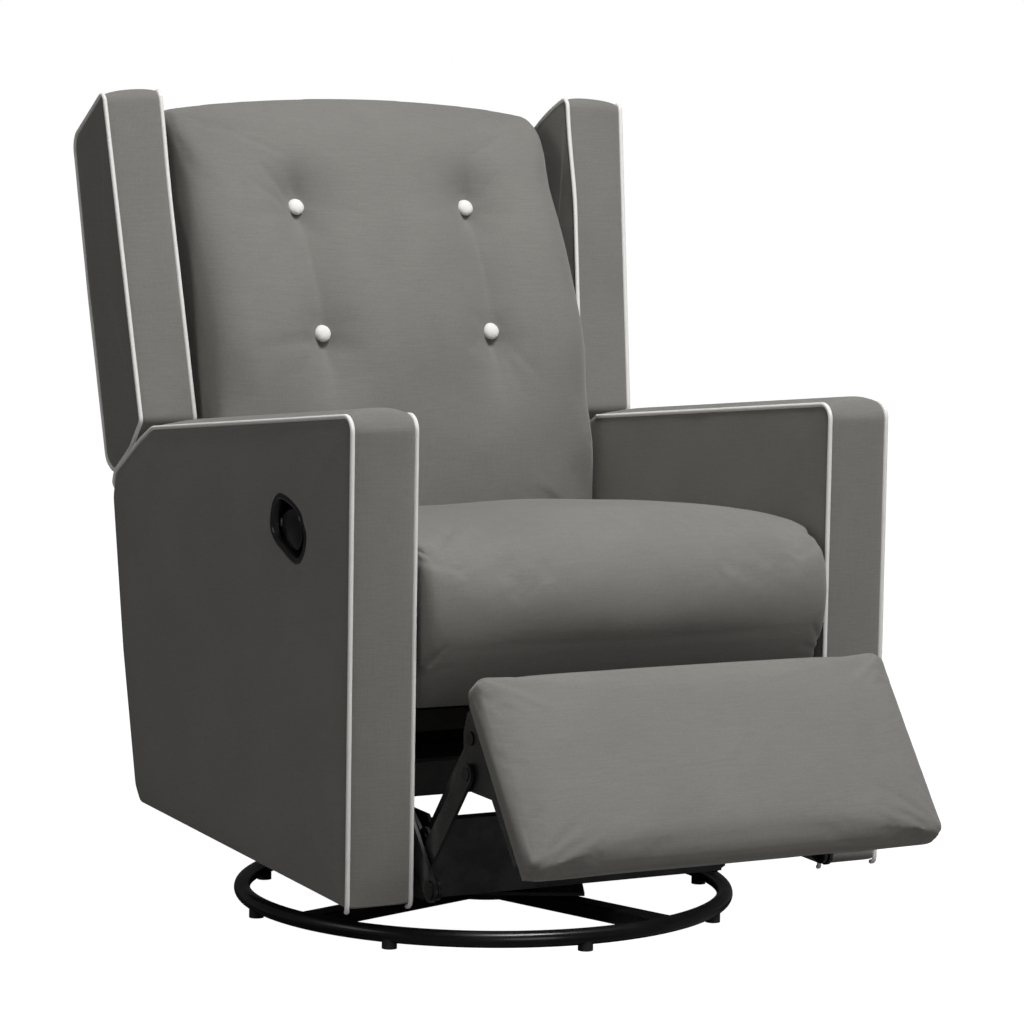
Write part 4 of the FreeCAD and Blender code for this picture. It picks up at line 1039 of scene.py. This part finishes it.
def make_buttons():
    """Covered buttons: a domed cap whose cloth is gathered under its rim, and the sunk neck that ties it down."""
    prof = [(0.0, 7.2), (2.5, 7.1), (5.0, 6.6), (7.4, 5.7), (9.3, 4.3), (10.5, 2.6), (11.0, 0.9), (10.8, -0.7), (10.0, -1.9), (8.6, -2.7), (6.5, -3.0), (3.4, -3.2), (3.2, -9.0), (0.0, -9.0)]
    co = get_co(BACK)
    parts = []
    for i, (bx, by, bz) in enumerate(BUTTONS):
        slope = 0.5 if bz > 800 else 0.36
        ax = Vector((0, -math.cos(slope), math.sin(slope)))
        d = np.sqrt((co[:, 0] - bx) ** 2 + (co[:, 2] - bz) ** 2)
        near = (d < 12) & (co[:, 1] < yr(bz) - 25)
        base = co[near].mean(0) if near.any() else np.array((bx, by, bz))
        rot = ax.to_track_quat("Z", "Y").to_matrix()
        n = 40
        vs, fs = [], []
        for r, h in prof:
            for k in range(n):
                a = 2 * math.pi * k / n
                ripple = 0.18 * math.cos(14 * a + i) * (1.0 if 0.3 < r < 11.2 and h < 2.5 else 0.0) + 0.06 * math.cos(5 * a + 2 * i)
                p = rot @ Vector(((r + ripple * (r > 0)) * math.cos(a), (r + ripple * (r > 0)) * math.sin(a), h + 0.9))
                vs.append((base[0] + p.x, base[1] + p.y, base[2] + p.z))
        for j in range(len(prof) - 1):
            for k in range(n):
                fs.append((j * n + k, j * n + (k + 1) % n, (j + 1) * n + (k + 1) % n, (j + 1) * n + k))
        parts.append((np.array(vs), fs))
    v, f = join_meshes(parts)
    ob = mesh_object("covered_buttons", v, f, M_BUTTON)
    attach(ob, "back")
    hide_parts("tuft_buttons")


make_buttons()


# ------------------------------------------------------------------ seat cushion
SEAT_PROF = [(240, 446), (150, 460), (20, 478), (-110, 489), (-200, 494), (-252, 492), (-286, 484), (-304, 464), (-312, 436), (-313, 402), (-306, 366), (-291, 336), (-275, 312), (-262, 301)]


def make_seat_solid():
    prof = spline(SEAT_PROF, 8.0)
    t = np.gradient(prof, axis=0)
    t /= np.linalg.norm(t, axis=1)[:, None]
    nrm = np.column_stack([t[:, 1], -t[:, 0]])
    if nrm[:10, 1].mean() < 0:
        nrm = -nrm
    core = np.array([(238.0, 410.0), (-260.0, 410.0), (-260.0, 300.5)])
    nx = 64
    lin = np.linspace(-1, 1, nx + 1)
    u = np.sign(lin) * (1 - (1 - np.abs(lin)) ** 1.35)
    a = 267.0
    v, f = [], []
    m = len(prof)
    for k in range(nx + 1):
        x = u[k] * a
        for j in range(m):
            y, z = prof[j]
            fr = smoothstep(-240, -300, y)
            r = 12.0 + 4.0 * fr
            e = (17.0 - 8.0 * fr) * (1 - abs(u[k]) ** 2.2) * (0.25 + 0.75 * smoothstep(345, 410, z)) - float(edge_drop(x, a, r))
            v.append((x, y + nrm[j][0] * e, z + nrm[j][1] * e))
        for cy, cz in core[::-1]:
            v.append((x, cy, cz))
    w = m + 3
    for k in range(nx):
        for j in range(w):
            b, c = k * w + j, k * w + (j + 1) % w
            f.append((b, c, c + w, b + w))
    f.append(tuple(range(w)))
    f.append(tuple(range(nx * w + w - 1, nx * w - 1, -1)))
    ob = mesh_object("seat_cushion_soft", v, f, M_FABRIC)
    remesh(ob, 0.0052)

    def pins(p):
        # the lower front stays where it is: the folded footrest comes up against it
        low = ((p[:, 2] < 416) & (p[:, 1] > -255)) | (p[:, 2] < 376)
        back = (p[:, 1] > -268) & (p[:, 2] < 420)
        return np.where(low | back | (p[:, 1] > 232), 1.0, 0.0)

    inflate(ob, pins, pressure=1.5, cap=6.0, hold=lambda p: 1.0 - 0.9 * smoothstep(252, 265, np.abs(p[:, 0])))
    subdivide(ob)
    co = get_co(ob)
    no = get_no(ob)
    face = smoothstep(-0.2, 0.4, no[:, 2] - no[:, 1])
    co += no * (wobble(co, 110.0, 2.0) * 1.4 * face)[:, None]
    # gathers where the cover is pulled in at the ends of the front
    for sx in (-1, 1):
        for py, pz, rad, dep, w in ((-288.0, 484.0, 30.0, 6.0, 1.0), (-306.0, 352.0, 26.0, 3.0, 4.0)):
            d = np.sqrt((co[:, 0] - 266.0 * sx) ** 2 + (co[:, 1] - py) ** 2 + (co[:, 2] - pz) ** 2)
            ang = np.arctan2(co[:, 2] - pz, (co[:, 0] - 266.0 * sx) * -sx)
            co -= no * (dep * np.exp(-(d / rad) ** 1.5) * (0.7 + 0.3 * np.cos(3 * ang + w)))[:, None]
        for (x0, z0), (x1, z1), wd, dp in (((264, 480), (222, 494), 4.0, 2.2), ((264, 472), (228, 462), 4.5, 1.6),
                                           ((264, 352), (244, 376), 3.5, 1.6), ((264, 344), (236, 352), 4.0, 1.4)):
            g = groove(co[:, 0] * sx, co[:, 2], (x0, z0), (x1, z1), wd, dp)
            co -= no * (g * smoothstep(-215, -245, co[:, 1]))[:, None]
    put_co(ob, co)
    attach(ob, "chair")
    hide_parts("seat_cushion")


make_seat_solid()


# ------------------------------------------------------------------ footrest pad
FT = math.radians(36.6)
FS, FC = math.sin(FT), math.cos(FT)


def foot_pt(x, s, n):
    return (x, -413.0 - s * FS - n * FC, 356.0 - s * FC + n * FS)


def foot_local(v):
    dy, dz = v[:, 1] + 413.0, v[:, 2] - 356.0
    return np.column_stack([v[:, 0], -dy * FS - dz * FC, -dy * FC + dz * FS])


def make_footrest():
    """The pad and its cover, which is drawn down over the edge of the board and turned under it."""
    hx, s0, s1, n0, n1 = 266.3, -1.0, 237.5, -42.3, 12.0
    r_top, r_plan = 13.0, 11.0
    ring = 18
    lev = [(-1.0, 0.86), (-1.0, 0.93), (-1.0, 1.0)]
    half = np.array([hx, (s1 - s0) / 2])
    mid = np.array([0.0, (s0 + s1) / 2])
    # outline in plan, a rounded rectangle
    out, nrm = rounded([(-hx, s0), (-hx, s1), (hx, s1), (hx, s0)], [r_plan] * 4, 9.0)
    m = len(out)
    prof = [(-40.0, n0), (-22.0, n0), (-13.0, n0), (-10.6, n0 + 1.0), (-10.0, n0 + 3.5), (-9.8, -34.0), (-8.6, -30.0), (-5.2, -26.0),
            (-1.6, -21.5)]
    prof += [(0.0, z) for z in np.arange(-16.0, n1 - r_top, 6.0)]
    prof += [(-r_top * (1 - math.cos(t)), n1 - r_top + r_top * math.sin(t)) for t in np.linspace(0.0, math.pi / 2, 6)]
    rings = []
    for off, n in prof:
        q = out + nrm * off
        rings.append(np.column_stack([q, np.full(m, n)]))
    for k in (0.93, 0.85, 0.74, 0.60, 0.44, 0.27, 0.11):
        q = mid + (out - nrm * r_top - mid) * k
        rings.append(np.column_stack([q, np.full(m, n1)]))
    low = mid + (out - nrm * 40.0 - mid) * 0.98
    rings.insert(0, np.column_stack([low, np.full(m, n0 + 6.5)]))
    v = np.vstack(rings)
    cr = (1 - np.clip(np.abs(v[:, 0]) / hx, 0, 1) ** 2.2) * (1 - np.clip(np.abs(v[:, 1] - mid[1]) / half[1], 0, 1) ** 2.2)
    v[:, 2] += np.where(v[:, 2] > n1 - r_top, 10.0 * np.sqrt(np.clip(cr, 0, 1)), 0.0)
    faces = []
    for k in range(len(rings) - 1):
        for i in range(m):
            j = (i + 1) % m
            faces.append((k * m + i, k * m + j, (k + 1) * m + j, (k + 1) * m + i))
    faces.append(tuple(range(m - 1, -1, -1)))
    b = (len(rings) - 1) * m
    faces.append(tuple(range(b, b + m)))
    ob = mesh_object("footrest_pad_soft", np.array([foot_pt(*a) for a in v]), faces, M_FABRIC)
    remesh(ob, 0.0048)

    def pins(w):
        return np.where(foot_local(w)[:, 2] < -12.0, 1.0, 0.0)

    inflate(ob, pins, pressure=1.8, cap=7.0)
    subdivide(ob)
    co, no = get_co(ob), get_no(ob)
    lo = foot_local(co)
    up = smoothstep(-0.3, 0.4, -no[:, 1])
    co += no * (wobble(co, 90.0, 8.0) * 0.8 * up)[:, None]
    # the corners are folded and stapled: a short gather runs in from each
    for sx in (-1, 1):
        for sc, sg in ((s0, 1), (s1, -1)):
            for ang, ln, dep in ((0.55, 26.0, 1.6), (0.95, 22.0, 1.3)):
                a0 = (sx * (hx - 1.0), sc + sg * 1.0)
                a1 = (sx * (hx - ln * math.cos(ang)), sc + sg * ln * math.sin(ang))
                co -= no * (groove(lo[:, 0], lo[:, 1], a0, a1, 3.2, dep) * smoothstep(-30, -16, lo[:, 2]))[:, None]
    put_co(ob, co)
    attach(ob, "footrest")
    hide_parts("footrest_pad")


make_footrest()


# ------------------------------------------------------------------ the back of the chair
def yo(z):
    return 427.0 + 0.157 * (z - 525.0)


def panel_mesh(name, x_half, z0, z1, y_of, thick, bulge, body, node, fold=6.0, nx=44, nz=60):
    """Cloth stretched over a frame: turned-under edges, a shallow crown, a sewn hem line."""
    vs, fs = [], []
    lin = lambda n: np.linspace(-1, 1, n + 1)
    ux = lin(nx)
    ux = np.sign(ux) * (1 - (1 - np.abs(ux)) ** 1.3)
    uz = lin(nz)
    uz = np.sign(uz) * (1 - (1 - np.abs(uz)) ** 1.3)
    for b in uz:
        for a in ux:
            x = a * x_half
            z = z0 + (b + 1) / 2 * (z1 - z0)
            ex = fold - math.sqrt(max(0.0, fold ** 2 - max(0.0, abs(x) - (x_half - fold)) ** 2))
            ez = fold - math.sqrt(max(0.0, fold ** 2 - max(0.0, abs(z - (z0 + z1) / 2) - ((z1 - z0) / 2 - fold)) ** 2))
            hem = 0.9 * math.exp(-((abs(x) - (x_half - 16.0)) / 1.6) ** 2)
            y = y_of(z) + bulge * (1 - a * a) * (1 - b * b) - max(ex, ez) - hem
            y += 0.7 * noise.noise(Vector((x / 120.0, z / 120.0, 4.0 + z0 * 0.01)))
            vs.append((x, y, z))
    w = nx + 1
    front = len(vs)
    for b in uz:
        for a in ux:
            z = z0 + (b + 1) / 2 * (z1 - z0)
            vs.append((a * x_half, y_of(z) - thick(z), z))
    for j in range(nz):
        for k in range(nx):
            fs.append((j * w + k, j * w + k + 1, (j + 1) * w + k + 1, (j + 1) * w + k))
            fs.append((front + j * w + k, front + (j + 1) * w + k, front + (j + 1) * w + k + 1, front + j * w + k + 1))
    for j in range(nz):
        fs.append((j * w, (j + 1) * w, front + (j + 1) * w, front + j * w))
        fs.append((j * w + nx, front + j * w + nx, front + (j + 1) * w + nx, (j + 1) * w + nx))
    for k in range(nx):
        fs.append((k, front + k, front + k + 1, k + 1))
        b = nz * w
        fs.append((b + k, b + k + 1, front + b + k + 1, front + b + k))
    ob = mesh_object(name, vs, fs, M_FABRIC)
    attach(ob, body)
    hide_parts(node)
    return ob


panel_mesh("outer_back_cloth", 267.0, 289.0, 964.0, lambda z: yo(z) - 2.0 if z < 940 else yo(940) - 2.0 - 0.022 * (z - 940) ** 2,
           lambda z: max(3.0, (yo(z) - 2.0 if z < 940 else yo(940) - 2.0 - 0.022 * (z - 940) ** 2) - (yr(z) + 25.5) if z < 950 else 12.0), 5.0, "back", "outer_back_panel")
panel_mesh("lower_back_cloth", 272.0, 121.0, 243.0, lambda z: 321.0 + 33.5 * (z - 120.0) / 138.0, lambda z: 11.5, 1.5, "chair", "lower_back_panel", fold=4.0)


# ------------------------------------------------------------------ floor and light
def stage_floor():
    m = Nodes("floor_white")
    o = m.coord("Object")
    n = m.noise(m.mapped(o, (1, 1, 1)), 3.0, 3.0, 0.5)
    # the paper sweep is burnt out to white, as a cut-out product shot is, and throws back as little light as a dark studio
    seen = m.new("ShaderNodeLightPath").outputs["Is Camera Ray"]
    m.link(m.mix(n, (0.19, 0.19, 0.187), (0.21, 0.21, 0.205)), m.bsdf.inputs["Base Color"])
    m.set(Roughness=0.9, Specular_IOR_Level=0.05)
    m.bsdf.inputs["Emission Color"].default_value = (1.0, 1.0, 1.0, 1.0)
    m.link(m.math("MULTIPLY", seen, 1.0), m.bsdf.inputs["Emission Strength"])
    me = bpy.data.meshes.new("floor")
    s = 30.0
    me.from_pydata([(-s, -s, 0), (s, -s, 0), (s, s, 0), (-s, s, 0)], [], [(0, 1, 2, 3)])
    me.materials.append(m.mat)
    ob = bpy.data.objects.new("floor", me)
    bpy.context.collection.objects.link(ob)


def area(name, loc, target, size, power, color=(1, 1, 1), size_y=None):
    d = bpy.data.lights.new(name, "AREA")
    d.energy = power
    d.color = color
    d.size = size
    if size_y:
        d.shape = "RECTANGLE"
        d.size_y = size_y
    ob = bpy.data.objects.new(name, d)
    ob.location = loc
    v = Vector(target) - Vector(loc)
    ob.rotation_mode = "QUATERNION"
    ob.rotation_quaternion = v.to_track_quat("-Z", "Y")
    bpy.context.collection.objects.link(ob)
    return ob


stage_floor()
area("key", (0.1, -1.5, 3.7), (0.0, -0.2, 0.4), 1.4, 118.0)
area("right", (1.8, -2.4, 3.0), (0.0, -0.1, 0.45), 1.6, 16.0)
area("side", (-3.6, 0.0, 2.2), (0.0, 0.0, 0.5), 1.6, 17.0)
area("front", (-0.6, -5.0, 1.6), (0.0, 0.0, 0.5), 2.0, 30.0)

w = bpy.data.worlds.new("studio")
w.use_nodes = True
wt = w.node_tree
bg = wt.nodes["Background"]
bg.inputs[0].default_value = (1.0, 1.0, 1.0, 1.0)
lp = wt.nodes.new("ShaderNodeLightPath")
mr = wt.nodes.new("ShaderNodeMapRange")
wt.links.new(lp.outputs["Is Camera Ray"], mr.inputs[0])
mr.inputs[3].default_value = 0.06
mr.inputs[4].default_value = 1.0
wt.links.new(mr.outputs[0], bg.inputs[1])
bpy.context.scene.world = w
bpy.context.scene.view_settings.view_transform = "Standard"
